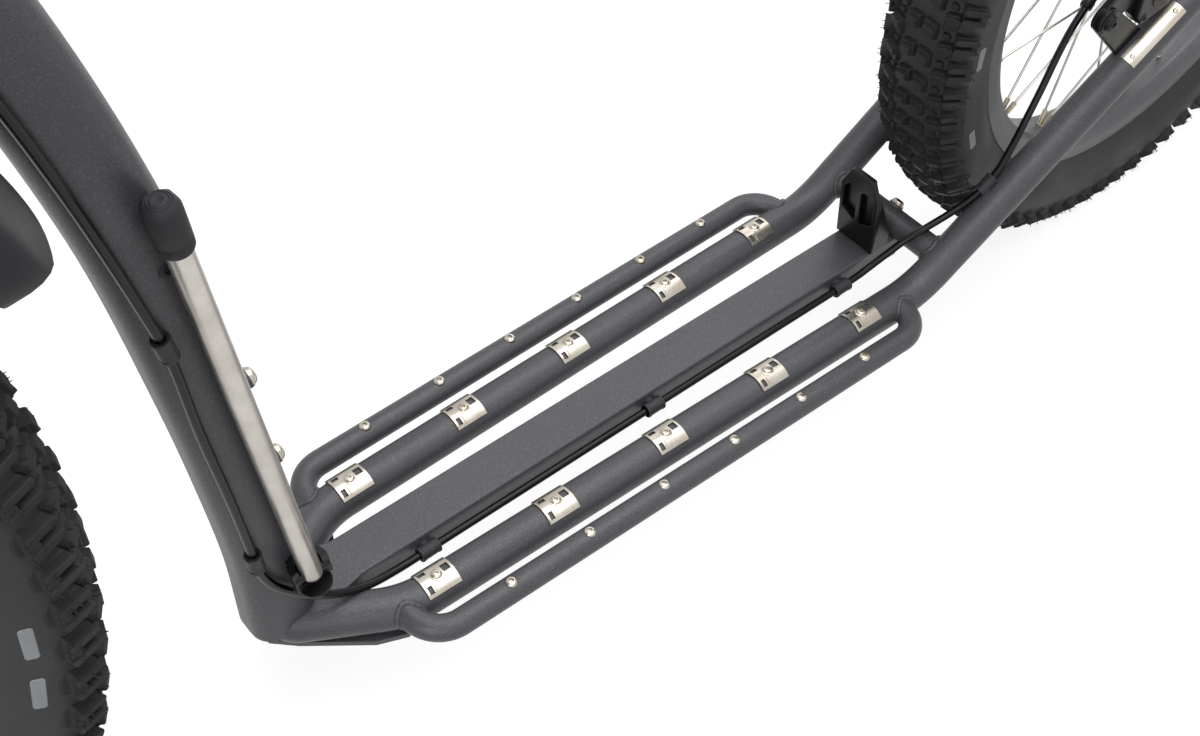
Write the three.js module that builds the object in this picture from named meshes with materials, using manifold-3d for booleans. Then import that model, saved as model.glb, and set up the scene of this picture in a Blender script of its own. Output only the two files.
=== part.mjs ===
// Kick bike: a foot-pushed scooter with two spoked wheels, disc brakes, a low deck of three rails
// and a side stand, built as one scene graph of separate pieces.
//
// Millimetres. +X is forward, +Y is the rider's left, +Z is up. The origin lies on the top face of
// the deck beam, on the centre plane, midway between the first and last cleats.

import * as THREE from 'three';
import { mergeVertices } from 'three/addons/utils/BufferGeometryUtils.js';
import Module from 'manifold-3d';

const wasm = await Module();
wasm.setup();

// Driving dimensions that the whole machine shares
const gap = 0.3; // between pieces that touch
const overrun = 6; // how far a cutting tool passes through
const deckHeight = 94; // beam top above the ground
const rearTyreRadius = 272;
const frontTyreRadius = 343;
const rearAxleX = -501;
const frontTyreRearX = 345.3; // with the fork straight ahead
const frontAxleX = frontTyreRearX + frontTyreRadius;
const headAngle = THREE.MathUtils.degToRad(71);
const forkRake = 45;
const crownAboveTyre = 77; // crown race above the tread
const forkLength = frontTyreRadius + crownAboveTyre; // crown race to axle
const steerAngle = THREE.MathUtils.degToRad(-16.1); // the fork is turned a little to the rider's right

// Deck: two round rails with cleats, a thinner foot rail outside each, a box beam between them
const railRadius = 12.5;
const railDrop = 11; // rail axis below the beam top
const railOffset = 47; // rail axis from the centre plane at the origin
const railTaperShare = 0.0232; // the rails open towards the rear
const railBend = 60;
const noseX = 251; // where the rails meet in front
const noseHalfWidth = 9.3;
const noseBend = 15.4;
const noseOverlap = 4; // past the centre plane, before it is cut there
const noseSlopeShare = 0.572;
const riseX = -227.7; // where the rails turn up into the stays
const riseBend = 68;
const riseAngle = THREE.MathUtils.degToRad(32.5);
const stayEndBeforeAxle = 22;
const staySpreadShare = 0.0176;
const footRailRadius = 8;
const footRailDrop = 8;
const footRailOffset = 75.1;
const footRailTaperShare = 0.0227;
const footRailFrontX = 196;
const footRailRearX = -206;
const footRailBend = 21;
const beamWidth = 30;
const beamHeight = 20;
const beamFlareX = 203;
const beamFlareWidth = 38;
const crossTubeX = -253.1;
const crossTubeZ = 5.2;
const crossTubeRadius = 9.5;
const crossBoltReach = 11; // bolt boss beyond the tube's axis
const crossBoltAngle = THREE.MathUtils.degToRad(42);
const bellyThickness = 4;
const bellyFrontX = 262;
const bellyRearX = 189;
const bellyHalfWidth = 51;

// Cleats: curved grip plates screwed to the rail tops
const cleatCount = 5;
const cleatSpacing = 86;
const cleatLength = 22;
const cleatWall = 1.2;
const cleatWrap = THREE.MathUtils.degToRad(90);
const cleatSlotLength = 5;
const cleatSlotWidth = 4;
const cleatSlotOffset = 6.8;
const cleatScrewRadius = 3;
const cleatScrewHeight = 1.4;

// Down tube and head tube
const downtubeWidth = 36;
const downtubeDepth = 40;
const downtubeCorner = 13;
const downtubeBaseX = 250.5;
const downtubeBaseZ = -9;
const headTubeLength = 140;
const headTubeRadius = 24;
const headTubeBore = 17.5;
const headsetLower = 12;
const headsetUpper = 15;
const bottleBoltSpacing = 63.5;
const bottleBoltZ = 120;
const bottleBossRadius = 5.5;
const bottleBossHeight = 3;
const bottleHeadRadius = 4.7;
const bottleHeadHeight = 3.5;

// Bracket at the rear of the beam
const bracketWidth = 33;
const bracketTopWidth = 18;
const bracketHeight = 66;
const bracketBaseX = -236;
const bracketDepth = 16.5;
const bracketTopLean = 9; // the front face leans forward by this much
const bracketTopThickness = 3;
const bracketShoulder = 50; // where its sides start to draw in
const bracketPocketWidth = 10;
const bracketPocketLow = 20;
const bracketPocketHigh = 48;
const bracketPocketDepth = 5;

// Stand
const standPivotX = 241;
const standPivotY = 28;
const standPivotZ = 53;
const standRadius = 6;
const standLength = 263; // pivot to the foot's mouth
const standLean = THREE.MathUtils.degToRad(8); // stowed, it follows the down tube
const standFootRadius = 8.2;
const standFootLength = 28;
const standFootSocket = 18;
const standCheekRadius = 11;
const standCheekThickness = 3;
const standCheekInner = 8.2; // half the space between the cheeks
const standPinRadius = 3;

// Hoses
const hoseRadius = 2.5;
const hoseSides = 8;
const guideRadius = 4.8;
const guideLength = 14;
const beamGuideX = [161, -15, -188];
const tubeGuideZ = [256, 79];
const stayGuideX = -292.6;

// Wheels
const tyreWidth = 68;
const tyreDepth = 58; // tread to rim flange
const knobHeight = 4;
const tyreWall = 4;
const rimWidth = 42;
const rimWall = 2.4;
const rimSeatDepth = 7;
const rimDepth = 21;
const wheelSegments = 40;
const spokesPerSide = 16;
const spokeRadius = 1.1;
const spokeCrossings = 3;
const hubSpacing = 100; // between the dropouts' inner faces
const hubBodyRadius = 12;
const hubFlangeRadius = 24;
const hubFlangeThickness = 3;
const hubFlangeLeft = 24;
const hubFlangeRight = 29;
const hubEnd = 41.5;
const axleRadius = 5;
const axleNutRadius = 8.5;
const axleNutHeight = 8;
const rotorRadius = 80;
const rotorThickness = 1.8;
const rotorPlane = 39.5;
const rotorBossRadius = 16;
const rotorWindowInner = 30;
const rotorWindowOuter = 62;
const rotorArms = 6;
const dropoutThickness = 6;
const dropoutEyeRadius = 17;
const dropoutArmRadius = 9;
const dropoutArmReach = 34; // into the stay's end

// Brake callipers
const calliperLength = 62;
const calliperDepth = 42;
const calliperRadius = 83; // its middle from the axle
const calliperInner = 15; // towards the spokes from the rotor
const calliperOuter = 16;
const calliperSlot = 1.7; // half the slot round the rotor
const calliperRearAngle = THREE.MathUtils.degToRad(-8);
const calliperFrontAngle = THREE.MathUtils.degToRad(122);
const calliperFoot = 16;
const fittingRadius = 4;
const fittingReach = 20;

// Fork
const steererRadius = 14.3;
const crownDepth = 30;
const crownHeight = 34;
const crownHalfWidth = 69;
const crownFoot = 5; // top of the crown below the race
const crownArchHalfWidth = 40;
const crownArchHeight = 12;
const legOffset = 57;
const legTopX = 8;
const legTopZ = -40;
const legTopRadius = 12.5;
const legEndAboveAxle = 22;
const legSides = 10;

// Mudguard
const mudguardClearance = 39.5; // above the tread
const mudguardWidth = 56;
const mudguardWall = 2.5;
const mudguardCrown = 0.8;
const mudguardCorner = 8;
const mudguardSkirt = 18;
const mudguardRearAngle = THREE.MathUtils.degToRad(140.9);
const mudguardFrontAngle = THREE.MathUtils.degToRad(62);
const mudguardStubWidth = 16;

// Stem, handlebar and grips
const spacerHeight = 20;
const spacerRadius = 17;
const stemHeight = 40;
const stemRadius = 19;
const stemReach = 72;
const stemRise = 14;
const stemArmRadius = 14;
const stemClampRadius = 21;
const stemClampWidth = 46;
const stemCapHeight = 5;
const barClampRadius = 15.9;
const barClampWidth = 84;
const barRadius = 11.1;
const barHalfWidth = 320;
const barRise = 42;
const barSweep = 28;
const barInnerBend = 48;
const barOuterBend = 112;
const barBend = 45;
const gripLength = 128;
const gripRadius = 16;
const gripFlange = 19;
const gripFlangeWidth = 5;

// Brake levers
const leverClampInboard = 22; // clamp's middle inboard of the grip
const leverClampRadius = 16;
const leverClampWidth = 14;
const leverTilt = THREE.MathUtils.degToRad(49);
const masterRadius = 9;
const masterLength = 62;
const masterOffset = 27;
const leverPivotOut = 14;
const leverPivotForward = 34;
const leverPinRadius = 2.5;
const leverEyeRadius = 6.5;
const leverEarThickness = 3;
const leverThickness = 7;
const leverLength = 96;
const leverReach = 60; // blade's middle ahead of the bar's axis
const leverTipRadius = 6;
const leverBladeRadius = 4.5;

// Finishes
const finish = (color, roughness, metalness) =>
  new THREE.MeshStandardMaterial({ color, roughness, metalness });
const framePaint = finish(0x55565a, 0.55, 0.35);
const stainless = finish(0xb9b2a6, 0.35, 1);
const blackAlloy = finish(0x17181a, 0.4, 0.6);
const blackRubber = finish(0x242426, 0.8, 0);
const hoseBlack = finish(0x101114, 0.35, 0);
const tyreRubber = finish(0x2b2b2d, 0.9, 0);
const rimGrey = finish(0x6b6c6e, 0.5, 0.6);
const blackPlastic = finish(0x202022, 0.6, 0);

// Geometry helpers

const vector = (x, y, z) => new THREE.Vector3(x, y, z);
const forward = vector(1, 0, 0);
const left = vector(0, 1, 0);
const up = vector(0, 0, 1);

// Joins shared vertices, drops empty triangles and turns the faces outwards
function weld(geometry) {
  const bare = geometry.clone();
  bare.deleteAttribute('normal');
  bare.deleteAttribute('uv');
  const merged = mergeVertices(bare, 1e-4);
  const place = merged.getAttribute('position');
  const triangles = [];
  for (let i = 0; i < merged.index.count; i += 3) {
    const corners = [0, 1, 2].map((k) => merged.index.getX(i + k));
    if (new Set(corners).size === 3) triangles.push(corners);
  }
  const corner = (i) => vector().fromBufferAttribute(place, i);
  const volume = triangles.reduce(
    (sum, [a, b, c]) => sum + corner(a).dot(corner(b).cross(corner(c))), 0);
  const ordered = volume < 0 ? triangles.map(([a, b, c]) => [a, c, b]) : triangles;
  merged.setIndex(ordered.flat());
  return merged;
}

function solid(geometry) {
  const welded = weld(geometry);
  return new wasm.Manifold(new wasm.Mesh({
    numProp: 3,
    vertProperties: new Float32Array(welded.getAttribute('position').array),
    triVerts: new Uint32Array(welded.index.array),
  }));
}

function geometryOf(body) {
  const data = body.getMesh();
  const geometry = new THREE.BufferGeometry();
  geometry.setAttribute('position', new THREE.BufferAttribute(new Float32Array(data.vertProperties), 3));
  geometry.setIndex(new THREE.BufferAttribute(new Uint32Array(data.triVerts), 1));
  return geometry;
}

function piece(parent, name, shape, material) {
  const geometry = shape instanceof THREE.BufferGeometry ? weld(shape) : geometryOf(shape);
  geometry.computeVertexNormals();
  const mesh = new THREE.Mesh(geometry, material);
  mesh.name = name;
  parent.add(mesh);
  return mesh;
}

const joined = (...bodies) => bodies.reduce((all, body) => all.add(body));

// Radius whose flats, not its corners, stand clear of a round piece
const roomFor = (radius, sides, clearance = gap) => (radius + clearance) / Math.cos(Math.PI / sides);
const grown = (radius, sides) => radius + gap / Math.cos(Math.PI / sides);

// A centre line with one ring of the tube at each station
class Stations extends THREE.Curve {
  constructor(points) {
    super();
    this.points = points;
    this.last = points.length - 1;
  }

  getPoint(share) {
    const along = share * this.last;
    const index = Math.min(Math.floor(along), this.last - 1);
    return this.points[index].clone().lerp(this.points[index + 1], along - index);
  }

  getPointAt(share) {
    return this.getPoint(share);
  }

  getTangent(share) {
    const index = Math.round(share * this.last);
    const here = this.points[index];
    const direction = vector(0, 0, 0);
    if (index > 0) direction.add(here.clone().sub(this.points[index - 1]).normalize());
    if (index < this.last) direction.add(this.points[index + 1].clone().sub(here).normalize());
    return direction.normalize();
  }

  getTangentAt(share) {
    return this.getTangent(share);
  }
}

// Straight runs between corners, with an arc of the given radius at each corner
function bent(corners, radii, step = THREE.MathUtils.degToRad(20)) {
  const points = [corners[0]];
  for (let i = 1; i < corners.length - 1; i += 1) {
    const corner = corners[i];
    const back = corners[i - 1].clone().sub(corner).normalize();
    const on = corners[i + 1].clone().sub(corner).normalize();
    const turn = Math.PI - back.angleTo(on);
    const radius = radii[i - 1];
    const start = corner.clone().addScaledVector(back, radius * Math.tan(turn / 2));
    const middle = back.clone().add(on).normalize();
    const centre = corner.clone().addScaledVector(middle, radius / Math.cos(turn / 2));
    const axis = on.clone().cross(back).normalize();
    const steps = Math.max(2, Math.ceil(turn / step));
    for (let k = 0; k <= steps; k += 1) {
      const arm = start.clone().sub(centre).applyAxisAngle(axis, (turn * k) / steps);
      points.push(centre.clone().add(arm));
    }
  }
  points.push(corners[corners.length - 1]);
  return new Stations(points);
}

// A smooth line through chosen points, with more stations where they lie closer
const eased = (points, steps) => new Stations(
  new THREE.CatmullRomCurve3(points, false, 'centripetal').getPoints(steps));

const ringOf = (radius, sides, turn = 0) => Array.from({ length: sides }, (_, i) => {
  const angle = turn + (2 * Math.PI * i) / sides;
  return new THREE.Vector2(radius * Math.cos(angle), radius * Math.sin(angle));
});

const swept = (section, path, steps) => new THREE.ExtrudeGeometry(
  new THREE.Shape(section), { steps, bevelEnabled: false, extrudePath: path });

const tube = (stations, radius, sides) => swept(ringOf(radius, sides), stations, stations.last);

// A cylinder from one point to another
function rod(from, to, radius, sides = 12, endRadius = radius) {
  const line = to.clone().sub(from);
  const geometry = new THREE.CylinderGeometry(endRadius, radius, line.length(), sides);
  const turn = new THREE.Quaternion().setFromUnitVectors(left, line.clone().normalize());
  geometry.applyQuaternion(turn);
  const middle = from.clone().lerp(to, 1 / 2);
  return geometry.translate(middle.x, middle.y, middle.z);
}

const block = (width, depth, height, x, y, z) =>
  new THREE.BoxGeometry(width, depth, height).translate(x, y, z);

// An outline in the X-Z plane, thick along Y from one side to the other
function sidePlate(shape, yLow, yHigh) {
  const geometry = new THREE.ExtrudeGeometry(shape, { depth: yHigh - yLow, bevelEnabled: false, curveSegments: 8 });
  return geometry.rotateX(Math.PI / 2).translate(0, yHigh, 0);
}

// An outline in the X-Y plane, thick along Z
function flatPlate(shape, zLow, zHigh) {
  const geometry = new THREE.ExtrudeGeometry(shape, { depth: zHigh - zLow, bevelEnabled: false, curveSegments: 8 });
  return geometry.translate(0, 0, zLow);
}

const outline = (...points) => new THREE.Shape(points.map(([x, y]) => new THREE.Vector2(x, y)));

// Two circles and their outer tangents
function link(ax, ay, aRadius, bx, by, bRadius, steps = 8) {
  const length = Math.hypot(bx - ax, by - ay);
  const heading = Math.atan2(by - ay, bx - ax);
  const open = Math.acos((aRadius - bRadius) / length);
  const points = [];
  for (let k = 0; k <= steps; k += 1) {
    const angle = heading + open + ((2 * Math.PI - 2 * open) * k) / steps;
    points.push([ax + aRadius * Math.cos(angle), ay + aRadius * Math.sin(angle)]);
  }
  for (let k = 0; k <= steps; k += 1) {
    const angle = heading - open + (2 * open * k) / steps;
    points.push([bx + bRadius * Math.cos(angle), by + bRadius * Math.sin(angle)]);
  }
  return outline(...points);
}

// A ring or a spindle turned about Y from (y, radius) pairs
const turned = (pairs, segments) => new THREE.LatheGeometry(
  pairs.map(([y, radius]) => new THREE.Vector2(radius, y)), segments);

const closed = (pairs) => [...pairs, pairs[0]];

const mirrored = (half) => [
  ...half.map(([y, radius]) => [-y, radius]),
  ...half.slice().reverse().filter(([y]) => y !== 0),
];

// Frame of the steering axis
const frontAxle = vector(frontAxleX, 0, frontTyreRadius - deckHeight);
const rearAxle = vector(rearAxleX, 0, rearTyreRadius - deckHeight);
const steerUp = vector(-Math.cos(headAngle), 0, Math.sin(headAngle));
const steerAhead = vector(Math.sin(headAngle), 0, Math.cos(headAngle));
const axleDrop = Math.sqrt(forkLength ** 2 - forkRake ** 2);
const crownRace = frontAxle.clone().addScaledVector(steerAhead, -forkRake).addScaledVector(steerUp, axleDrop);
const onSteerer = (height) => crownRace.clone().addScaledVector(steerUp, height);
const headBase = headsetLower;
const headTop = headBase + headTubeLength;
const stemBase = headTop + headsetUpper;

const kickBike = new THREE.Group();
const frame = new THREE.Group();
kickBike.add(frame);

// Hose routes on the frame, chosen by hand from the brake line's clips
const rearHosePoints = [
  [506, 39, 709.3], [510, 38.8, 698], [508, 36, 681], [496, 31, 666], [478, 26.5, 652],
  [453, 23, 636], [427, 21.6, 610], [400, 21.4, 571], [374, 21.4, 521], [333.5, 21.4, 424],
  [313, 21.4, 357], [291, 21.4, 266], [287.4, 21.4, 246], [282, 21.4, 194], [273.5, 21.4, 130],
  [268.8, 21.4, 88], [267, 21.6, 70], [261, 22.5, 52], [250, 23.4, 36], [237, 23.6, 21],
  [221, 23, 7], [203, 22, -3], [183, 20.8, -7.6], [168, 20.4, -8.5], [154, 20.2, -8.5],
  [75, 20.2, -8.5], [-8, 20.2, -8.5], [-22, 20.2, -8.5], [-115, 20.2, -8.5], [-203, 20.2, -8.3],
  [-216, 21, -5], [-226, 24.5, 3.5], [-237, 29.5, 14.5], [-251, 34.5, 22.5], [-270, 38.6, 29],
  [-285, 43.2, 39.5], [-300, 45, 53.5], [-314, 42.4, 67], [-328, 38.8, 83], [-340, 36, 101],
  [-354, 32, 121], [-366, 29.2, 134.5], [-378, 27, 144],
].map(([x, y, z]) => vector(x, y, z));
const rearHose = (extra = 0) => solid(tube(eased(rearHosePoints, 56), hoseRadius + extra, hoseSides));
const rearHoseRoom = rearHose(gap * 1.5);

// The place on a hose route where one coordinate has the given value, and the way the hose runs there
function onRoute(points, key, value) {
  const index = points.findIndex((point, i) => i > 0 && (points[i - 1][key] - value) * (point[key] - value) <= 0);
  const [before, after] = [points[index - 1], points[index]];
  const share = (value - before[key]) / (after[key] - before[key]);
  return { at: before.clone().lerp(after, share), along: after.clone().sub(before) };
}

// A clip round the hose, standing on the piece that carries it
function guide({ at, along }, carrier) {
  const half = along.clone().normalize().multiplyScalar(guideLength / 2);
  const sleeve = solid(rod(at.clone().sub(half), at.clone().add(half), guideRadius, 8));
  const foot = solid(rod(at, carrier, guideRadius, 6));
  return sleeve.add(foot);
}

// Rails with their stays. Each is one bent tube from the nose to the rear dropout.
const railSides = 12;
const railZ = -railDrop;
const railY = (x) => railOffset - railTaperShare * x;
const noseCornerX = (railOffset - noseHalfWidth - noseSlopeShare * noseX) / (railTaperShare - noseSlopeShare);
const stayRise = Math.tan(riseAngle);
const stayZ = (x) => railZ + (riseX - x) * stayRise;
const stayY = (x) => railY(riseX) + (riseX - x) * staySpreadShare;
const stayEndX = rearAxleX + stayEndBeforeAxle;

function railPath(side) {
  return bent([
    vector(noseX, -side * noseOverlap, railZ),
    vector(noseX, side * noseHalfWidth, railZ),
    vector(noseCornerX, side * railY(noseCornerX), railZ),
    vector(riseX, side * railY(riseX), railZ),
    vector(stayEndX, side * stayY(stayEndX), stayZ(stayEndX)),
  ], [noseBend, railBend, riseBend]);
}

const rail = (side, radius = railRadius) => solid(tube(railPath(side), radius, railSides));
const railRoom = [1, -1].map((side) => rail(side, grown(railRadius, railSides)));

// Dropout plates, let into the stays' ends
const dropoutLow = hubSpacing / 2;
const dropoutHigh = dropoutLow + dropoutThickness;
const dropoutArmX = stayEndX + dropoutArmReach;

function dropout(side, extra = 0) {
  const shape = link(rearAxle.x, rearAxle.z, dropoutEyeRadius + extra,
    dropoutArmX, stayZ(dropoutArmX), dropoutArmRadius + extra);
  const inner = side * dropoutLow - side * extra;
  const outer = side * dropoutHigh + side * extra;
  return solid(sidePlate(shape, Math.min(inner, outer), Math.max(inner, outer)));
}

function buildRails() {
  for (const [side, name] of [[1, 'left'], [-1, 'right']]) {
    let body = rail(side);
    if (side > 0) {
      const clip = onRoute(rearHosePoints, 'x', stayGuideX);
      const below = clip.at.x + guideLength / 2;
      body = body.add(guide(clip, vector(below, stayY(below), stayZ(below))));
      body = body.subtract(rearHoseRoom);
    }
    const far = 2 * (noseOverlap + noseBend);
    const beyond = solid(block(far, far, far, noseX, (side * (gap - far)) / 2, railZ));
    piece(frame, `${name}_rail`, body.subtract(beyond).subtract(dropout(side, gap)), framePaint);

    const eye = solid(rod(vector(rearAxle.x, side * (dropoutLow - overrun), rearAxle.z),
      vector(rearAxle.x, side * (dropoutHigh + overrun), rearAxle.z), roomFor(axleRadius, 12), 12));
    piece(frame, `${name}_dropout`, dropout(side).subtract(eye), framePaint);
  }
}

// Foot rails, bent inwards to the main rails at both ends
function buildFootRails() {
  const footY = (x) => footRailOffset - footRailTaperShare * x;
  for (const [side, name, room] of [[1, 'left', railRoom[0]], [-1, 'right', railRoom[1]]]) {
    const frontRailY = noseHalfWidth + noseSlopeShare * (noseX - footRailFrontX);
    const path = bent([
      vector(footRailFrontX, side * frontRailY, -footRailDrop),
      vector(footRailFrontX, side * footY(footRailFrontX), -footRailDrop),
      vector(footRailRearX, side * footY(footRailRearX), -footRailDrop),
      vector(footRailRearX, side * railY(footRailRearX), -footRailDrop),
    ], [footRailBend, footRailBend]);
    piece(frame, `${name}_foot_rail`, solid(tube(path, footRailRadius, 10)).subtract(room), framePaint);
  }
}

// Down tube: a rounded box section on a swept centre line from the nose to the head tube
const downtubeTop = onSteerer(headBase + headTubeLength * 0.46);
const downtubeShares = [[0, 0], [0.0085, 0.0859], [0.0363, 0.1788], [0.0793, 0.2886], [0.1621, 0.4518],
  [0.3007, 0.6151], [0.4782, 0.7531], [0.7124, 0.8819], [1, 1]]; // of the way ahead, of the way up
const downtubePath = new THREE.CatmullRomCurve3(downtubeShares.map(([aheadShare, upShare]) => vector(
  downtubeBaseX + aheadShare * (downtubeTop.x - downtubeBaseX), 0,
  downtubeBaseZ + upShare * (downtubeTop.z - downtubeBaseZ))));

function roundedBox(width, depth, corner) {
  const shape = [];
  for (const [cx, cy, start] of [[1, 1, 0], [-1, 1, 1], [-1, -1, 2], [1, -1, 3]]) {
    for (let k = 0; k <= 2; k += 1) {
      const angle = ((start + k / 2) * Math.PI) / 2;
      shape.push(new THREE.Vector2(cx * (width / 2 - corner) + corner * Math.cos(angle),
        cy * (depth / 2 - corner) + corner * Math.sin(angle)));
    }
  }
  return shape;
}

const downtube = (extra = 0) => solid(swept(
  roundedBox(downtubeWidth + 2 * extra, downtubeDepth + 2 * extra, downtubeCorner + extra), downtubePath, 14));

const cylinderOnSteerer = (low, high, radius, sides = 20) => solid(rod(onSteerer(low), onSteerer(high), radius, sides));

// A ring turned about the steering axis from (height, radius) pairs
const ringOnSteerer = (pairs, sides = 20) => turned(closed(pairs), sides)
  .applyQuaternion(new THREE.Quaternion().setFromUnitVectors(left, steerUp))
  .translate(crownRace.x, crownRace.y, crownRace.z);

// Rear face of the down tube at a height, and the way it faces
function downtubeRear(z) {
  const points = downtubePath.getPoints(200);
  const index = points.findIndex((point) => point.z > z);
  const ahead = points[index].clone().sub(points[index - 1]).normalize();
  const out = vector(-ahead.z, 0, ahead.x);
  return { at: points[index].clone().addScaledVector(out, downtubeDepth / 2), out };
}

function buildDowntube() {
  let body = downtube();
  for (const z of [bottleBoltZ, bottleBoltZ + bottleBoltSpacing]) {
    const { at, out } = downtubeRear(z);
    const inside = at.clone().addScaledVector(out, -bottleBossHeight);
    const rim = at.clone().addScaledVector(out, bottleBossHeight);
    const top = rim.clone().addScaledVector(out, bottleHeadHeight);
    body = joined(body, solid(rod(inside, rim, bottleBossRadius, 10)),
      solid(rod(rim.clone().addScaledVector(out, -bottleBossHeight), top, bottleHeadRadius, 10, bottleHeadRadius * 0.7)));
  }
  for (const z of tubeGuideZ) {
    const clip = onRoute(rearHosePoints, 'z', z);
    body = body.add(guide(clip, vector(clip.at.x - guideRadius / 2, downtubeWidth / 2 - overrun, z)));
  }
  const head = cylinderOnSteerer(headBase - overrun, headTop + overrun, roomFor(headTubeRadius, 20), 20);
  body = body.subtract(railRoom[0]).subtract(railRoom[1]).subtract(head).subtract(rearHoseRoom);
  const parts = body.decompose().sort((a, b) => b.volume() - a.volume());
  piece(frame, 'downtube', parts[0], framePaint);
}

function buildHead() {
  const cup = headTubeRadius;
  const bore = roomFor(steererRadius, 20);
  piece(frame, 'head_tube', ringOnSteerer([[headBase, headTubeBore], [headBase, cup], [headTop, cup],
    [headTop, headTubeBore]]), framePaint);
  piece(frame, 'headset_lower', ringOnSteerer([[gap, bore], [gap, cup], [headBase - gap, cup],
    [headBase - gap, bore]]), blackAlloy);
  piece(frame, 'headset_upper', ringOnSteerer([[headTop + gap, bore], [headTop + gap, cup],
    [headTop + headsetUpper / 2, cup], [stemBase - gap, spacerRadius], [stemBase - gap, bore]]), blackAlloy);
}

// Deck beam, with a flare where it meets the nose and three hose clips on its left side
function buildBeam() {
  const half = beamWidth / 2;
  const flare = beamFlareWidth / 2;
  const flareEnd = beamFlareX + flare;
  const front = downtubeBaseX - downtubeDepth / 2 + overrun;
  const shape = outline([crossTubeX, -half], [beamFlareX, -half], [flareEnd, -flare], [front, -flare],
    [front, flare], [flareEnd, flare], [beamFlareX, half], [crossTubeX, half]);
  let body = solid(flatPlate(shape, -beamHeight, 0));
  for (const x of beamGuideX) {
    const clip = onRoute(rearHosePoints, 'x', x);
    body = body.add(guide(clip, vector(x, half - overrun, clip.at.z)));
  }
  const crossRoom = solid(rod(vector(crossTubeX, -beamWidth, crossTubeZ), vector(crossTubeX, beamWidth, crossTubeZ),
    roomFor(crossTubeRadius, 14), 14));
  const seatEnd = bracketBaseX + bracketDepth + gap;
  const seat = solid(block(2 * (seatEnd - crossTubeX), 2 * beamWidth, 2 * bellyThickness,
    crossTubeX, 0, bellyThickness - gap));
  body = body.subtract(railRoom[0]).subtract(railRoom[1]).subtract(downtube(gap)).subtract(crossRoom)
    .subtract(seat).subtract(rearHoseRoom);
  const parts = body.decompose().sort((a, b) => b.volume() - a.volume());
  piece(frame, 'deck_beam', parts[0], framePaint);

  const ends = railY(crossTubeX);
  const bossOut = vector(-Math.cos(crossBoltAngle), 0, Math.sin(crossBoltAngle));
  const axis = vector(crossTubeX, 0, crossTubeZ);
  const bossTop = axis.clone().addScaledVector(bossOut, crossBoltReach);
  const cross = joined(
    solid(rod(vector(crossTubeX, -ends, crossTubeZ), vector(crossTubeX, ends, crossTubeZ), crossTubeRadius, 14)),
    solid(rod(axis, bossTop, bottleBossRadius, 10)),
    solid(rod(axis, bossTop.clone().addScaledVector(bossOut, bottleHeadHeight), bottleHeadRadius, 10)));
  piece(frame, 'cross_tube', cross.subtract(railRoom[0]).subtract(railRoom[1]).subtract(rearHoseRoom), framePaint);

  const top = railZ - railRadius - gap;
  const rightShares = [[0.83, -0.34], [0.36, -0.86], [0.12, -1], [0, -0.96], [0.05, -0.65], [0.2, -0.2]];
  const right = rightShares.map(([along, across]) => [
    bellyRearX + along * (bellyFrontX - bellyRearX), across * bellyHalfWidth]);
  const nose = [[bellyFrontX, bellyHalfWidth * 0.1], [bellyFrontX, -bellyHalfWidth * 0.1]];
  const other = right.map(([x, y]) => [x, -y]).reverse();
  piece(frame, 'belly_plate', flatPlate(outline(...nose, ...right, ...other), top - bellyThickness, top), framePaint);
}

// Cleats: a slice of a sleeve over the rail's top with two slots, and its screw
function buildCleats() {
  const inner = roomFor(railRadius, railSides, gap);
  const outer = inner + cleatWall;
  const steps = 6;
  const arc = (radius, k) => {
    const angle = Math.PI / 2 - cleatWrap / 2 + (cleatWrap * k) / steps;
    return [radius * Math.cos(angle), radius * Math.sin(angle)];
  };
  const rows = Array.from({ length: steps + 1 }, (_, k) => k);
  const section = outline(...rows.map((k) => arc(outer, k)), ...rows.slice().reverse().map((k) => arc(inner, k)));
  const sheet = new THREE.ExtrudeGeometry(section, { depth: cleatLength, bevelEnabled: false })
    .rotateX(Math.PI / 2).rotateZ(Math.PI / 2).translate(-cleatLength / 2, 0, 0);
  const screwTop = outer + cleatScrewHeight;
  const screw = solid(rod(vector(0, 0, inner + cleatWall / 2), vector(0, 0, screwTop), cleatScrewRadius, 8));
  const slot = (x, y) => solid(block(cleatSlotLength, cleatSlotWidth, outer, x, y, outer));
  const plate = solid(sheet).add(screw)
    .subtract(slot(cleatSlotOffset, -cleatSlotOffset / 2)).subtract(slot(-cleatSlotOffset, cleatSlotOffset / 2));
  for (const [side, name] of [[1, 'left'], [-1, 'right']]) {
    for (let i = 0; i < cleatCount; i += 1) {
      const x = cleatSpacing * ((cleatCount - 1) / 2 - i);
      const mesh = piece(frame, `${name}_cleat_${i + 1}`, plate, stainless);
      mesh.position.set(x, side * railY(x), railZ);
      mesh.rotation.z = -side * Math.atan(railTaperShare);
    }
  }
}

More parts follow.
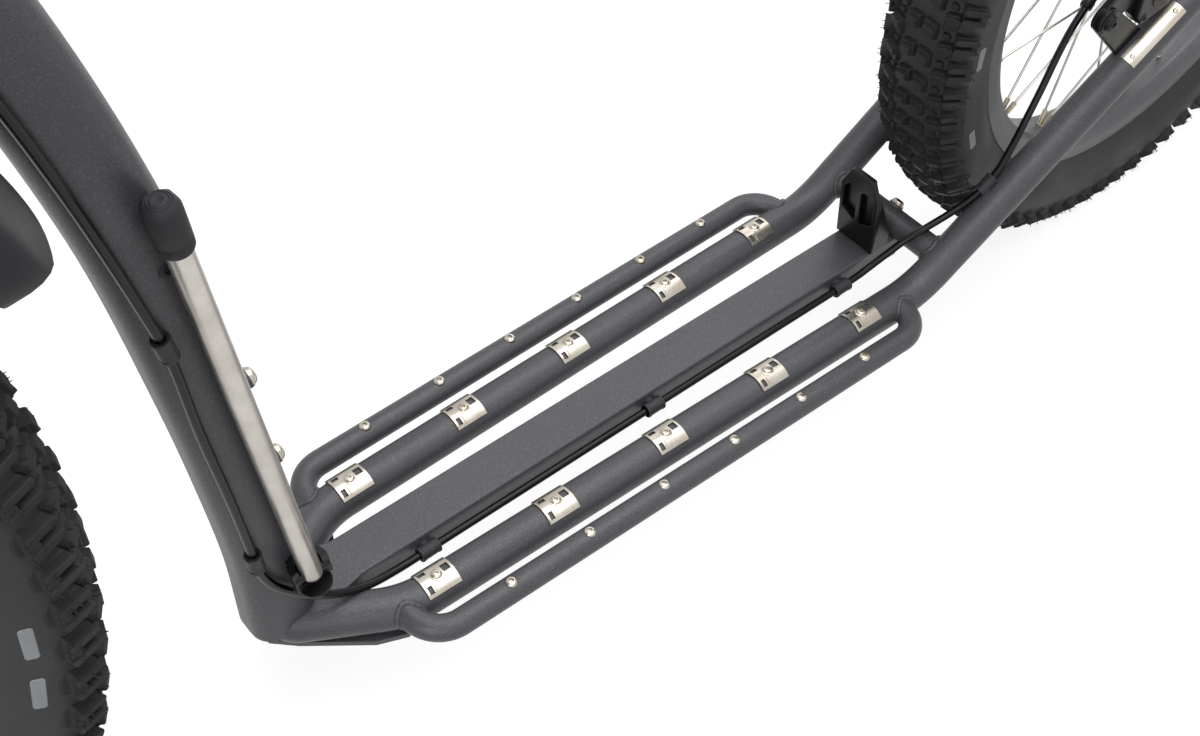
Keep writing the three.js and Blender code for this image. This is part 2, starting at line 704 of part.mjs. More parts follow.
// Black bracket at the rear of the beam, with two pockets in its front face
function buildBracket() {
  const front = bracketBaseX + bracketDepth;
  const topFront = front + bracketTopLean;
  const profile = outline([bracketBaseX, 0], [front, 0], [front + bracketTopLean / 2, bracketHeight * 0.45],
    [topFront, bracketHeight * 0.96], [topFront - bracketTopThickness, bracketHeight],
    [front + bracketTopLean / 9, bracketShoulder], [bracketBaseX + gap, bracketHeight * 0.2]);
  const half = bracketWidth / 2;
  const topHalf = bracketTopWidth / 2;
  const face = outline([-half, 0], [half, 0], [half, bracketShoulder], [topHalf, bracketHeight + overrun],
    [-topHalf, bracketHeight + overrun], [-half, bracketShoulder]);
  const limits = new THREE.ExtrudeGeometry(face, { depth: bracketDepth + bracketTopLean + 2 * overrun, bevelEnabled: false })
    .rotateX(Math.PI / 2).rotateZ(Math.PI / 2).translate(bracketBaseX - overrun, 0, 0);
  let body = solid(sidePlate(profile, -half, half)).intersect(solid(limits));
  for (const side of [-1, 1]) {
    const low = [front + overrun, bracketPocketLow - overrun];
    const high = [topFront + overrun, bracketPocketHigh];
    const pocket = outline(low, high, [topFront - bracketPocketDepth, bracketPocketHigh - overrun / 2],
      [front + bracketTopLean / 2 - bracketPocketDepth, bracketPocketLow + overrun]);
    const middle = side * (bracketPocketWidth / 2 + overrun / 4);
    body = body.subtract(solid(sidePlate(pocket, middle - bracketPocketWidth / 2, middle + bracketPocketWidth / 2)));
  }
  const crossRoom = solid(rod(vector(crossTubeX, -bracketWidth, crossTubeZ), vector(crossTubeX, bracketWidth, crossTubeZ),
    roomFor(crossTubeRadius, 14), 14));
  piece(frame, 'rear_bracket', body.subtract(crossRoom).subtract(rearHoseRoom), blackAlloy);
}

// Stand: a channel on the down tube's left side, a cross pin, and the tube with its rubber foot
const standPivot = vector(standPivotX, standPivotY, standPivotZ);

function buildStand() {
  const cheekOut = standCheekInner + standCheekThickness;
  const web = downtubeWidth / 2 + gap;
  const webThickness = standCheekThickness;
  const cheekOutline = new THREE.Shape(ringOf(standCheekRadius, 16, Math.PI / 16)
    .map((point) => new THREE.Vector2(point.x + standPivotY, point.y + standPivotZ)));
  const cheek = (low, high) => solid(new THREE.ExtrudeGeometry(cheekOutline, { depth: high - low, bevelEnabled: false })
    .rotateX(Math.PI / 2).rotateZ(Math.PI / 2).translate(low, 0, 0));
  const reach = standPivotY - web;
  const channel = solid(block(2 * cheekOut, reach, 2 * standCheekRadius, standPivotX, web + reach / 2, standPivotZ));
  const inside = solid(block(2 * standCheekInner, reach, 3 * standCheekRadius,
    standPivotX, web + webThickness + reach / 2, standPivotZ));
  const middle = solid(block(2 * standCheekInner, 4 * standCheekRadius, 4 * standCheekRadius,
    standPivotX, web + webThickness + 2 * standCheekRadius, standPivotZ));
  const pinRoom = solid(rod(vector(standPivotX - 2 * cheekOut, standPivotY, standPivotZ),
    vector(standPivotX + 2 * cheekOut, standPivotY, standPivotZ), roomFor(standPinRadius, 12), 12));
  const bracket = joined(channel, cheek(standPivotX - cheekOut, standPivotX + cheekOut))
    .subtract(inside).subtract(middle).subtract(pinRoom).subtract(downtube(gap)).subtract(rearHoseRoom);
  piece(frame, 'stand_bracket', bracket, blackAlloy);

  const headThickness = standCheekThickness * 0.6;
  const pin = joined(
    solid(rod(vector(standPivotX - cheekOut - gap - headThickness, standPivotY, standPivotZ),
      vector(standPivotX + cheekOut + gap + headThickness, standPivotY, standPivotZ), standPinRadius, 12)),
    ...[-1, 1].map((end) => solid(rod(
      vector(standPivotX + end * (cheekOut + gap), standPivotY, standPivotZ),
      vector(standPivotX + end * (cheekOut + gap + headThickness), standPivotY, standPivotZ), standPinRadius * 1.7, 12))));
  piece(frame, 'stand_pin', pin, stainless);

  const stand = new THREE.Group();
  stand.position.copy(standPivot);
  stand.rotation.y = standLean;
  kickBike.add(stand);
  const eye = standRadius;
  const foot = vector(0, 0, standLength);
  const tubeBody = joined(
    solid(rod(vector(0, 0, 0), foot.clone().add(vector(0, 0, standFootSocket - gap)), standRadius, 12)),
    solid(rod(vector(-eye, 0, 0), vector(eye, 0, 0), eye, 12)));
  const bore = solid(rod(vector(-2 * eye, 0, 0), vector(2 * eye, 0, 0), roomFor(standPinRadius, 12, gap / 2), 12)
    .rotateY(-standLean));
  piece(stand, 'stand_tube', tubeBody.subtract(bore), stainless);
  const footEnd = foot.clone().add(vector(0, 0, standFootLength));
  const shoulder = foot.clone().add(vector(0, 0, standFootLength * 0.8));
  const footBody = joined(solid(rod(foot, shoulder, standFootRadius * 0.92, 14, standFootRadius)),
    solid(rod(shoulder, footEnd, standFootRadius, 14, standFootRadius * 0.7)))
    .subtract(solid(rod(foot.clone().sub(vector(0, 0, overrun)), foot.clone().add(vector(0, 0, standFootSocket)),
      roomFor(standRadius, 12), 12)));
  piece(stand, 'stand_foot', footBody, blackRubber);
}

// Wheels: tyre, rim, two sides of crossed spokes, hub and rotor, turned about the Y axis

function tyreGeometry(radius) {
  const half = tyreWidth / 2;
  const flange = radius - tyreDepth;
  const bead = rimWidth / 2 - rimWall - gap;
  const seat = flange - rimSeatDepth + gap;
  const outer = [[bead, seat], [bead, flange], [half * 0.86, flange + tyreDepth * 0.28],
    [half, radius - tyreDepth * 0.26], [half * 0.84, radius - knobHeight * 1.6], [half * 0.3, radius]];
  const inner = [[bead - tyreWall, seat], [half * 0.72, radius - knobHeight * 3.4]];
  const flip = (pairs) => pairs.map(([y, r]) => [-y, r]).reverse();
  const pairs = closed([...outer, ...flip(outer), ...flip(inner).reverse(), ...inner.slice().reverse()]);
  const geometry = turned(pairs, wheelSegments);
  const place = geometry.getAttribute('position');
  const shoulders = new Set([3, 4, 7, 8]);
  const crown = new Set([5, 6]);
  for (let i = 0; i < place.count; i += 1) {
    const ring = Math.floor(i / pairs.length);
    const row = i % pairs.length;
    const low = (shoulders.has(row) && ring % 2 === 0) || (crown.has(row) && ring % 2 === 1);
    if (low) {
      const share = 1 - knobHeight / radius;
      place.setX(i, place.getX(i) * share);
      place.setZ(i, place.getZ(i) * share);
    }
  }
  return geometry;
}

function rimGeometry(radius) {
  const flange = radius - tyreDepth;
  const half = rimWidth / 2;
  const well = flange - rimSeatDepth;
  const inside = flange - rimDepth;
  const knee = well - rimWall;
  return turned(closed([[half, flange], [half - rimWall, flange], [half - rimWall, well],
    [-half + rimWall, well], [-half + rimWall, flange], [-half, flange], [-half, knee],
    [-half * 0.6, inside], [half * 0.6, inside], [half, knee]]),
  wheelSegments);
}

function spokeSide(radius, side) {
  const flangeY = side * ((side > 0 ? hubFlangeLeft : hubFlangeRight) + hubFlangeThickness / 2);
  const holes = hubFlangeRadius - hubFlangeThickness;
  const rimInside = (radius - tyreDepth - rimDepth) * Math.cos(Math.PI / wheelSegments);
  const pitch = (2 * Math.PI) / spokesPerSide;
  const shift = (2 * Math.PI * spokeCrossings) / spokesPerSide;
  const at = (angle, r, y) => vector(r * Math.cos(angle), y, r * Math.sin(angle));
  const startFrom = hubFlangeRadius + gap + spokeRadius;
  const endAt = rimInside - gap - spokeRadius / 4;
  const rods = Array.from({ length: spokesPerSide }, (_, i) => {
    const heading = i % 2 === 0 ? 1 : -1;
    const hole = at(i * pitch, holes, flangeY);
    const seat = at(i * pitch + heading * shift, endAt, side * spokeRadius);
    const line = seat.clone().sub(hole);
    const planar = Math.hypot(line.x, line.z);
    const lead = (hole.x * line.x + hole.z * line.z) / planar;
    const share = (Math.sqrt(startFrom ** 2 - holes ** 2 + lead ** 2) - lead) / planar;
    return solid(rod(hole.clone().lerp(seat, share), seat, spokeRadius, 3));
  });
  return joined(...rods);
}

function hubGeometry() {
  const rotorFace = rotorPlane - rotorThickness / 2 - gap;
  const bore = roomFor(axleRadius, 12);
  return turned(closed([[-hubEnd, bore], [-hubEnd, hubBodyRadius],
    [-hubFlangeRight - hubFlangeThickness, hubBodyRadius], [-hubFlangeRight - hubFlangeThickness, hubFlangeRadius],
    [-hubFlangeRight, hubFlangeRadius], [-hubFlangeRight, hubBodyRadius], [hubFlangeLeft, hubBodyRadius],
    [hubFlangeLeft, hubFlangeRadius], [hubFlangeLeft + hubFlangeThickness, hubFlangeRadius],
    [rotorFace, rotorBossRadius + hubFlangeThickness], [rotorFace, rotorBossRadius],
    [rotorPlane + rotorThickness / 2, rotorBossRadius], [hubEnd, bore + axleRadius], [hubEnd, bore]]), 12);
}

function rotorGeometry() {
  const disc = new THREE.Shape(ringOf(rotorRadius, 30));
  disc.holes.push(new THREE.Path(ringOf(roomFor(rotorBossRadius, 12), 12)));
  const pitch = (2 * Math.PI) / rotorArms;
  for (let i = 0; i < rotorArms; i += 1) {
    const low = i * pitch + pitch * 0.14;
    const high = (i + 1) * pitch - pitch * 0.1;
    const twist = pitch * 0.35;
    const point = (radius, angle) => new THREE.Vector2(radius * Math.cos(angle), radius * Math.sin(angle));
    disc.holes.push(new THREE.Path([point(rotorWindowInner, low), point(rotorWindowOuter, low + twist),
      point(rotorWindowOuter, (low + high) / 2 + twist), point(rotorWindowOuter, high + twist * 0.6),
      point(rotorWindowInner, high)]));
  }
  return sidePlate(disc, rotorPlane - rotorThickness / 2, rotorPlane + rotorThickness / 2);
}

function buildWheel(parent, end, radius) {
  piece(parent, `${end}_tyre`, tyreGeometry(radius), tyreRubber);
  piece(parent, `${end}_rim`, rimGeometry(radius), rimGrey);
  piece(parent, `${end}_spokes_left`, spokeSide(radius, 1), stainless);
  piece(parent, `${end}_spokes_right`, spokeSide(radius, -1), stainless);
  piece(parent, `${end}_hub`, hubGeometry(), blackAlloy);
  piece(parent, `${end}_rotor`, rotorGeometry(), stainless);
}

// An axle with its inner locknuts and outer nuts
function axleGeometry() {
  const lock = hubSpacing / 2 - gap;
  const nut = dropoutHigh + gap;
  const end = nut + axleNutHeight;
  const half = [[end + axleRadius / 2, 0], [end + axleRadius / 2, axleRadius], [end, axleRadius], [end, axleNutRadius],
    [nut, axleNutRadius], [nut, axleRadius], [lock, axleRadius], [lock, axleNutRadius],
    [hubEnd + gap, axleNutRadius], [hubEnd + gap, axleRadius]];
  return turned(mirrored(half), 8);
}

// A brake calliper round the rotor, about an axle at the origin, with a foot towards what carries it
function calliper(angle, footAngle, footReach) {
  const low = rotorPlane - calliperInner;
  const high = rotorPlane + calliperOuter;
  const half = calliperLength / 2;
  const corner = calliperDepth / 4;
  const inner = calliperRadius - calliperDepth / 2;
  const outer = calliperRadius + calliperDepth / 2;
  const shape = outline([inner, -half + corner], [inner + corner, -half], [outer - corner, -half],
    [outer, -half + corner], [outer, half - corner], [outer - corner, half], [inner + corner, half],
    [inner, half - corner]);
  const slot = solid(block(2 * rotorRadius + calliperSlot * 2, 2 * calliperSlot, 4 * half, 0, rotorPlane, 0));
  const body = solid(sidePlate(shape, low, high)).subtract(slot);
  const foot = solid(block(footReach, calliperFoot, calliperLength * 0.8, footReach / 2, 0, 0)
    .rotateY(-footAngle).translate(calliperRadius, high - calliperFoot / 2, 0));
  return joined(body, foot.subtract(slot)).rotate([0, THREE.MathUtils.radToDeg(-angle), 0]);
}

const rearWheel = new THREE.Group();
rearWheel.position.copy(rearAxle);
kickBike.add(rearWheel);

function buildRear() {
  const holder = new THREE.Group();
  holder.position.copy(rearAxle);
  frame.add(holder);
  piece(holder, 'rear_axle', axleGeometry(), stainless);
  const stayDirection = -riseAngle - calliperRearAngle;
  const body = calliper(calliperRearAngle, stayDirection - Math.PI / 2, calliperDepth)
    .translate([rearAxle.x, 0, rearAxle.z]);
  const end = rearHosePoints[rearHosePoints.length - 1];
  const onward = end.clone().sub(rearHosePoints[rearHosePoints.length - 2]).normalize();
  const fitting = solid(rod(end.clone().addScaledVector(onward, gap),
    end.clone().addScaledVector(onward, fittingReach + gap), fittingRadius, 8));
  const stayRoom = railRoom[0];
  const whole = joined(body, fitting).subtract(stayRoom).subtract(dropout(1, gap)).translate([-rearAxle.x, 0, -rearAxle.z]);
  const parts = whole.decompose().sort((a, b) => b.volume() - a.volume());
  piece(holder, 'rear_calliper', parts[0], blackAlloy);
  piece(frame, 'rear_hose', rearHose(), hoseBlack);
}

// Everything that turns with the fork. Its own Z runs up the steering axis, its X points ahead.
const steered = new THREE.Group();
steered.position.copy(crownRace);
steered.quaternion.setFromAxisAngle(left, headAngle - Math.PI / 2)
  .multiply(new THREE.Quaternion().setFromAxisAngle(up, steerAngle));
kickBike.add(steered);

const forkAxle = vector(forkRake, 0, -axleDrop);
const legEnd = forkAxle.clone().add(vector(0, 0, legEndAboveAxle));

function legPath(side) {
  return new Stations([
    vector(legTopX, side * legOffset, legTopZ - gap),
    vector((legTopX + legEnd.x) / 2, side * legOffset, (legTopZ + legEnd.z) / 2),
    vector(legEnd.x, side * legOffset, legEnd.z),
  ]);
}

const leg = (side, radius = legTopRadius) => solid(tube(legPath(side), radius, legSides));

function buildFork() {
  const low = -crownFoot - crownHeight;
  const arch = crownArchHalfWidth;
  const crownShape = outline([-crownHalfWidth, low], [-arch, low], [-arch * 0.8, low + crownArchHeight],
    [arch * 0.8, low + crownArchHeight], [arch, low], [crownHalfWidth, low],
    [crownHalfWidth, low + crownHeight * 0.45], [crownHalfWidth * 0.45, -crownFoot], [-crownHalfWidth * 0.45, -crownFoot],
    [-crownHalfWidth, low + crownHeight * 0.45]);
  const crown = solid(new THREE.ExtrudeGeometry(crownShape, { depth: crownDepth, bevelEnabled: false })
    .rotateX(Math.PI / 2).rotateZ(Math.PI / 2).translate(-crownDepth / 2 + legTopX / 2, 0, 0));
  const race = solid(rod(vector(0, 0, -crownFoot - overrun), vector(0, 0, 0), headTubeRadius, 20));
  const steererTop = stemBase + spacerHeight + stemHeight - gap;
  const steerer = solid(rod(vector(0, 0, -crownFoot - overrun), vector(0, 0, steererTop), steererRadius, 20));
  piece(steered, 'fork_crown', joined(crown, race, steerer), framePaint);

  for (const [side, name] of [[1, 'left'], [-1, 'right']]) {
    const plateShape = link(forkAxle.x, forkAxle.z, dropoutEyeRadius, legEnd.x, legEnd.z + legTopRadius, dropoutArmRadius);
    const inner = side * dropoutLow;
    const outer = side * dropoutHigh;
    const plate = solid(sidePlate(plateShape, Math.min(inner, outer), Math.max(inner, outer)));
    const eye = solid(rod(vector(forkAxle.x, inner - side * overrun, forkAxle.z),
      vector(forkAxle.x, outer + side * overrun, forkAxle.z), roomFor(axleRadius, 12), 12));
    piece(steered, `fork_leg_${name}`, leg(side).add(plate).subtract(eye), framePaint);
  }

  const wheel = new THREE.Group();
  wheel.position.copy(forkAxle);
  steered.add(wheel);
  piece(wheel, 'front_axle', axleGeometry(), stainless);
  buildWheel(wheel, 'front', frontTyreRadius);

  const legHeading = Math.atan2(legTopZ - legEnd.z, legTopX - legEnd.x);
  const body = calliper(calliperFrontAngle, legHeading - calliperFrontAngle - Math.PI / 2, calliperDepth)
    .translate([forkAxle.x, 0, forkAxle.z]);
  const legRoom = leg(1, grown(legTopRadius, legSides));
  const whole = body.subtract(legRoom);
  const parts = whole.decompose().sort((a, b) => b.volume() - a.volume());
  const end = frontHosePoints[frontHosePoints.length - 1];
  const onward = end.clone().sub(frontHosePoints[frontHosePoints.length - 2]).normalize();
  const fitting = solid(rod(end.clone().addScaledVector(onward, gap),
    end.clone().addScaledVector(onward, fittingReach + gap), fittingRadius, 8));
  piece(steered, 'front_calliper', parts[0].add(fitting), blackAlloy);
}

// Mudguard: a channel on an arc about the front axle, open towards the tyre, with a stub up to the crown
function buildMudguard() {
  const half = mudguardWidth / 2;
  const corner = mudguardCorner;
  const wall = mudguardWall;
  const outer = [[half, -mudguardSkirt], [half, -corner], [half - corner * 0.3, -corner * 0.3],
    [half - corner, mudguardCrown * 0.4], [0, mudguardCrown]];
  const inner = [[0, mudguardCrown - wall], [half - corner, mudguardCrown * 0.4 - wall],
    [half - corner * 0.3 - wall * 0.7, -corner * 0.3 - wall * 0.7], [half - wall, -corner - wall * 0.4],
    [half - wall, -mudguardSkirt]];
  const flip = (points) => points.map(([x, y]) => [-x, y]).reverse();
  const section = [...outer, ...flip(outer).slice(1), ...flip(inner), ...inner.slice(1)]
    .map(([x, y]) => new THREE.Vector2(x, y));
  const radius = frontTyreRadius + mudguardClearance;
  const arcPoint = (angle) => forkAxle.clone().add(vector(radius * Math.cos(angle), 0, radius * Math.sin(angle)));
  const steps = 12;
  const arc = new Stations(Array.from({ length: steps + 1 }, (_, k) => arcPoint(
    mudguardFrontAngle + ((mudguardRearAngle - mudguardFrontAngle) * k) / steps)));
  const stubLow = forkAxle.z + Math.sqrt(radius ** 2 - forkRake ** 2);
  const stubTop = -crownFoot - crownHeight + crownArchHeight - gap;
  const stub = solid(block(mudguardStubWidth, mudguardStubWidth, stubTop - stubLow, 0, 0, (stubTop + stubLow) / 2));
  piece(steered, 'mudguard', solid(swept(section, arc, steps)).add(stub), blackPlastic);
}

// Stem, handlebar and grips
const barZ = stemBase + spacerHeight + stemHeight / 2 + stemRise;
const barCentre = vector(stemReach, 0, barZ);
const barEnd = (side) => vector(stemReach - barSweep, side * barHalfWidth, barZ + barRise);
const barKnee = (side) => vector(stemReach, side * barOuterBend, barZ + barRise);
const barOut = (side) => barEnd(side).sub(barKnee(side)).normalize();

function buildCockpit() {
  const base = stemBase + gap;
  const clampLow = stemBase + spacerHeight;
  const clampTop = clampLow + stemHeight;
  const collar = joined(
    solid(rod(vector(0, 0, base), vector(0, 0, clampLow + gap), spacerRadius, 16)),
    solid(rod(vector(0, 0, clampLow), vector(0, 0, clampTop), stemRadius, 16)));
  const arm = solid(rod(vector(0, 0, clampLow + stemHeight / 2), barCentre, stemArmRadius, 14));
  const clamp = solid(rod(vector(stemReach, -stemClampWidth / 2, barZ), vector(stemReach, stemClampWidth / 2, barZ),
    stemClampRadius, 16));
  const steererRoom = solid(rod(vector(0, 0, base - overrun), vector(0, 0, clampTop + overrun),
    roomFor(steererRadius, 20), 20));
  const barRoom = solid(rod(vector(stemReach, -barClampWidth, barZ), vector(stemReach, barClampWidth, barZ),
    roomFor(barClampRadius, 16), 16));
  piece(steered, 'stem', joined(collar, arm, clamp).subtract(steererRoom).subtract(barRoom), blackAlloy);
  piece(steered, 'stem_cap', rod(vector(0, 0, clampTop + gap), vector(0, 0, clampTop + gap + stemCapHeight),
    spacerRadius, 20, spacerRadius * 0.8), blackAlloy);

  const path = bent([
    barEnd(1), barKnee(1), vector(stemReach, barInnerBend, barZ),
    vector(stemReach, -barInnerBend, barZ), barKnee(-1), barEnd(-1),
  ], [barBend, barBend, barBend, barBend]);
  const sleeve = solid(rod(vector(stemReach, -barClampWidth / 2, barZ), vector(stemReach, barClampWidth / 2, barZ),
    barClampRadius, 16));
  piece(steered, 'handlebar', solid(tube(path, barRadius, 10)).add(sleeve), blackAlloy);

  for (const [side, name] of [[1, 'left'], [-1, 'right']]) {
    const end = barEnd(side);
    const out = barOut(side);
    const inner = end.clone().addScaledVector(out, -gripLength);
    const lip = inner.clone().addScaledVector(out, gripFlangeWidth);
    const cap = end.clone().addScaledVector(out, gripFlangeWidth);
    const grip = joined(solid(rod(inner, end.clone(), gripRadius, 12)), solid(rod(inner, lip, gripFlange, 12)),
      solid(rod(end.clone().addScaledVector(out, -gap), cap, gripRadius, 12, gripRadius * 0.8)));
    const room = solid(rod(inner.clone().addScaledVector(out, -overrun), end.clone().addScaledVector(out, gap),
      roomFor(barRadius, 10), 10));
    piece(steered, `${name}_grip`, grip.subtract(room), blackRubber);
  }
}

// Brake levers: a clamp with its master cylinder, and a blade that pivots on a pin in two ears
function handGroup(side) {
  const out = barOut(side);
  const hand = new THREE.Group();
  hand.position.copy(barEnd(side).addScaledVector(out, -(gripLength + leverClampInboard)));
  const yAxis = out.clone().multiplyScalar(side);
  const xAxis = forward.clone().addScaledVector(yAxis, -forward.dot(yAxis)).normalize().applyAxisAngle(yAxis, leverTilt);
  hand.quaternion.setFromRotationMatrix(
    new THREE.Matrix4().makeBasis(xAxis, yAxis, xAxis.clone().cross(yAxis)));
  steered.add(hand);
  return hand;
}

function buildLever(side, name) {
  const hand = handGroup(side);
  const pivot = vector(leverPivotForward, side * leverPivotOut, 0);
  const inboard = side * (leverPivotOut - masterLength);
  const earHigh = leverThickness / 2 + gap + leverEarThickness;
  const clamp = solid(rod(vector(0, -leverClampWidth / 2, 0), vector(0, leverClampWidth / 2, 0), leverClampRadius, 12));
  const neck = solid(block(masterOffset, leverClampWidth, leverClampWidth, masterOffset / 2, 0, 0));
  const barrel = solid(rod(vector(masterOffset, inboard, 0), vector(masterOffset, side * (leverPivotOut - leverEyeRadius * 1.8), 0),
    masterRadius, 10));
  const ear = (low, high) => solid(flatPlate(
    link(pivot.x, pivot.y, leverEyeRadius, masterOffset, 0, masterRadius, 4), low, high));
  const barRoom = solid(rod(vector(0, -barClampWidth, 0), vector(0, barClampWidth, 0), roomFor(barRadius, 10), 10));
  const bladeRoom = solid(rod(vector(pivot.x, pivot.y, -leverThickness / 2 - gap), vector(pivot.x, pivot.y, leverThickness / 2 + gap),
    leverEyeRadius * 1.7, 10));
  const pin = solid(rod(vector(pivot.x, pivot.y, -earHigh), vector(pivot.x, pivot.y, earHigh), leverPinRadius, 8));
  const body = joined(clamp, neck, barrel, ear(leverThickness / 2 + gap, earHigh), ear(-earHigh, -leverThickness / 2 - gap))
    .subtract(barRoom).subtract(bladeRoom).add(pin);
  piece(hand, `${name}_brake_body`, body, blackAlloy);

  const knee = [leverReach - leverPivotForward, side * leverLength * 0.3];
  const tip = [leverReach - leverPivotForward + leverTipRadius / 3, side * leverLength];
  const half = leverThickness / 2;
  const arm = (from, fromRadius, to, toRadius) => solid(flatPlate(
    link(from[0], from[1], fromRadius, to[0], to[1], toRadius, 4), -half, half));
  const blade = joined(arm([0, 0], leverEyeRadius, knee, leverBladeRadius), arm(knee, leverBladeRadius, tip, leverTipRadius))
    .subtract(solid(rod(vector(0, 0, -leverThickness), vector(0, 0, leverThickness), roomFor(leverPinRadius, 8, gap / 2), 8)));
  piece(hand, `${name}_lever`, blade, blackAlloy).position.copy(pivot);
}

// Hose routes that turn with the fork, chosen by hand
const frontHosePoints = [
  [88.1, 125.8, 242.6], [90.7, 106, 242.2], [97, 84, 232], [103, 66, 202], [100, 52, 152], [84, 42, 100], [62, 42, 48],
  [42, 50, 8], [30, 64, -24], [24, 74, -56], [8, 76, -88], [-5, 70, -112], [-3, 60, -150],
  [3, 56, -196], [-6, 50, -232], [-21, 42, -260], [-31, 35, -281], [-28.3, 32, -300.3], [-17.7, 32, -317.3],
].map(([x, y, z]) => vector(x, y, z));
const barHosePoints = [
  [88.1, -125.8, 242.6], [90.7, -106, 242.2], [100, -80, 234], [112, -48, 206], [112, -18, 170], [100, 12, 140], [76, 36, 118],
  [48, 47, 107], [26, 51, 101], [13, 48.5, 94], [10.8, 43.7, 86], [10.8, 43.7, 77.8],
].map(([x, y, z]) => vector(x, y, z));

function buildSteeredHoses() {
  const hose = (points, steps) => tube(eased(points, steps), hoseRadius, hoseSides);
  piece(steered, 'front_hose', hose(frontHosePoints, 30), hoseBlack);
  piece(steered, 'bar_hose', hose(barHosePoints, 20), hoseBlack);
}

buildRails();
buildFootRails();
buildDowntube();
buildHead();
buildBeam();
buildCleats();
buildBracket();
buildStand();
buildWheel(rearWheel, 'rear', rearTyreRadius);
buildRear();
buildFork();
buildMudguard();
buildCockpit();
buildLever(1, 'left');
buildLever(-1, 'right');
buildSteeredHoses();

export default kickBike;
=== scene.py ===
# %% [markdown]
# A kick bike is a scooter with bicycle wheels: the rider stands on a low deck and pushes with one foot.
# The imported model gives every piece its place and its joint. This script keeps those places and builds
# the looks over them: rounder tubes, a tread, spokes, screws, welds and the finishes. Lengths are typed
# in millimetres, as in a workshop drawing, and turned into metres only when a mesh is made.

# %% Load the frame and keep its box
import math

import bpy
import numpy as np
from mathutils import Matrix, Vector
from mathutils.bvhtree import BVHTree


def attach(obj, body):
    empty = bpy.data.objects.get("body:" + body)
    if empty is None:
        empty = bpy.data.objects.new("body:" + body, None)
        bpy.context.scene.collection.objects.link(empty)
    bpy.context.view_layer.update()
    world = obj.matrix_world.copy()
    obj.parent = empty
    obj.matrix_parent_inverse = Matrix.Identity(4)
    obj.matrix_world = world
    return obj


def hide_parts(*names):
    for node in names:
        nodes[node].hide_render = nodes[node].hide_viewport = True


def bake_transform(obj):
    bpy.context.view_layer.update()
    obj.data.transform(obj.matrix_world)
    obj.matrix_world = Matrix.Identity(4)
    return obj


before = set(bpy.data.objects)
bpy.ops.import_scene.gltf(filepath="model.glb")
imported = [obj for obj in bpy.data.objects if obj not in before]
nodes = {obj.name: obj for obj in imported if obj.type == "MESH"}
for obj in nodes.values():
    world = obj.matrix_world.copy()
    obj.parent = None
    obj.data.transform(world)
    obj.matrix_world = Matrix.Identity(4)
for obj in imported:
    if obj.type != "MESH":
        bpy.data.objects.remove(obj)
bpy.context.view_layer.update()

# %% [markdown]
# The photograph looks down at the deck from in front of the left side. A camera fitted to the tubes, the
# wheels and the cleats gives its place and its three directions, so they are written as found. The lens
# follows from the field of view on a 36 mm sensor.

# %% The camera
CAMERA_PLACE = (0.4532, 0.4481, 0.7483)
CAMERA_RIGHT = (-0.7586, 0.6491, 0.0577)
CAMERA_DOWN = (0.4616, 0.5977, -0.6556)
camera_data = bpy.data.cameras.new("camera")
camera_data.sensor_width = 36
camera_data.lens = 46.72
camera_data.clip_start = 0.01
camera = bpy.data.objects.new("camera", camera_data)
bpy.context.scene.collection.objects.link(camera)
bpy.context.scene.camera = camera
across = Vector(CAMERA_RIGHT).normalized()
ahead = across.cross(-Vector(CAMERA_DOWN)).normalized() * -1
upward = across.cross(ahead)
turn = Matrix((across, upward, -ahead)).transposed().to_4x4()
camera.matrix_world = Matrix.Translation(CAMERA_PLACE) @ turn
print("camera looks along", [round(v, 3) for v in ahead])

# %% [markdown]
# Every mesh here is a skin over a row of rings: a tube is a ring carried along a line, and a hub is a ring
# that grows and shrinks along an axis. One helper joins ring to ring, and the rest only make the rings.
# Points stay in numpy arrays, which are quick to turn, bend and place.

# %% Points, rings and skins
def array(points):
    return np.array(points, float)


def unit(vector):
    vector = np.asarray(vector, float)
    return vector / np.linalg.norm(vector)


def turned(vector, axis, angle):
    """The vector turned about an axis."""
    c, s = math.cos(angle), math.sin(angle)
    return vector * c + np.cross(axis, vector) * s + axis * (axis @ vector) * (1 - c)


def round_points(radii, angles):
    """Points at the given distances from the origin and at the given angles."""
    return np.column_stack([radii * np.cos(angles), radii * np.sin(angles)])


def circle(radius, sides):
    return round_points(radius, np.linspace(0, 2 * math.pi, sides, endpoint=False))


def rounded_box(width, depth, corner, steps=5):
    """The outline of a box section with round corners."""
    points = []
    for quarter, (x, y) in enumerate([(1, 1), (-1, 1), (-1, -1), (1, -1)]):
        for k in range(steps + 1):
            angle = (quarter + k / steps) * math.pi / 2
            points.append((x * (width / 2 - corner) + corner * math.cos(angle),
                           y * (depth / 2 - corner) + corner * math.sin(angle)))
    return array(points)


def outwards(verts, faces):
    """The same mesh with its faces turned to the outside."""
    volume = 0.0
    for face in faces:
        a = verts[face[0]]
        for b, c in zip(face[1:-1], face[2:]):
            volume += a @ np.cross(verts[b], verts[c])
    return verts, faces if volume > 0 else [tuple(reversed(face)) for face in faces]


def skin(rings, loop=False):
    """Faces between rings of equally many points, closed at both ends or looped from last to first."""
    rings = [array(ring) for ring in rings]
    sides, count = len(rings[0]), len(rings)
    faces = []
    for i in range(count if loop else count - 1):
        low, high = i * sides, ((i + 1) % count) * sides
        for j in range(sides):
            k = (j + 1) % sides
            faces.append((low + j, low + k, high + k, high + j))
    if not loop:
        faces.append(tuple(range(sides))[::-1])
        faces.append(tuple(range((count - 1) * sides, count * sides)))
    return outwards(np.vstack(rings), faces)


def joined(parts):
    """Several meshes as one, each still its own shell."""
    verts, faces, start = [], [], 0
    for part_verts, part_faces in parts:
        verts.append(part_verts)
        faces += [tuple(i + start for i in face) for face in part_faces]
        start += len(part_verts)
    return np.vstack(verts), faces


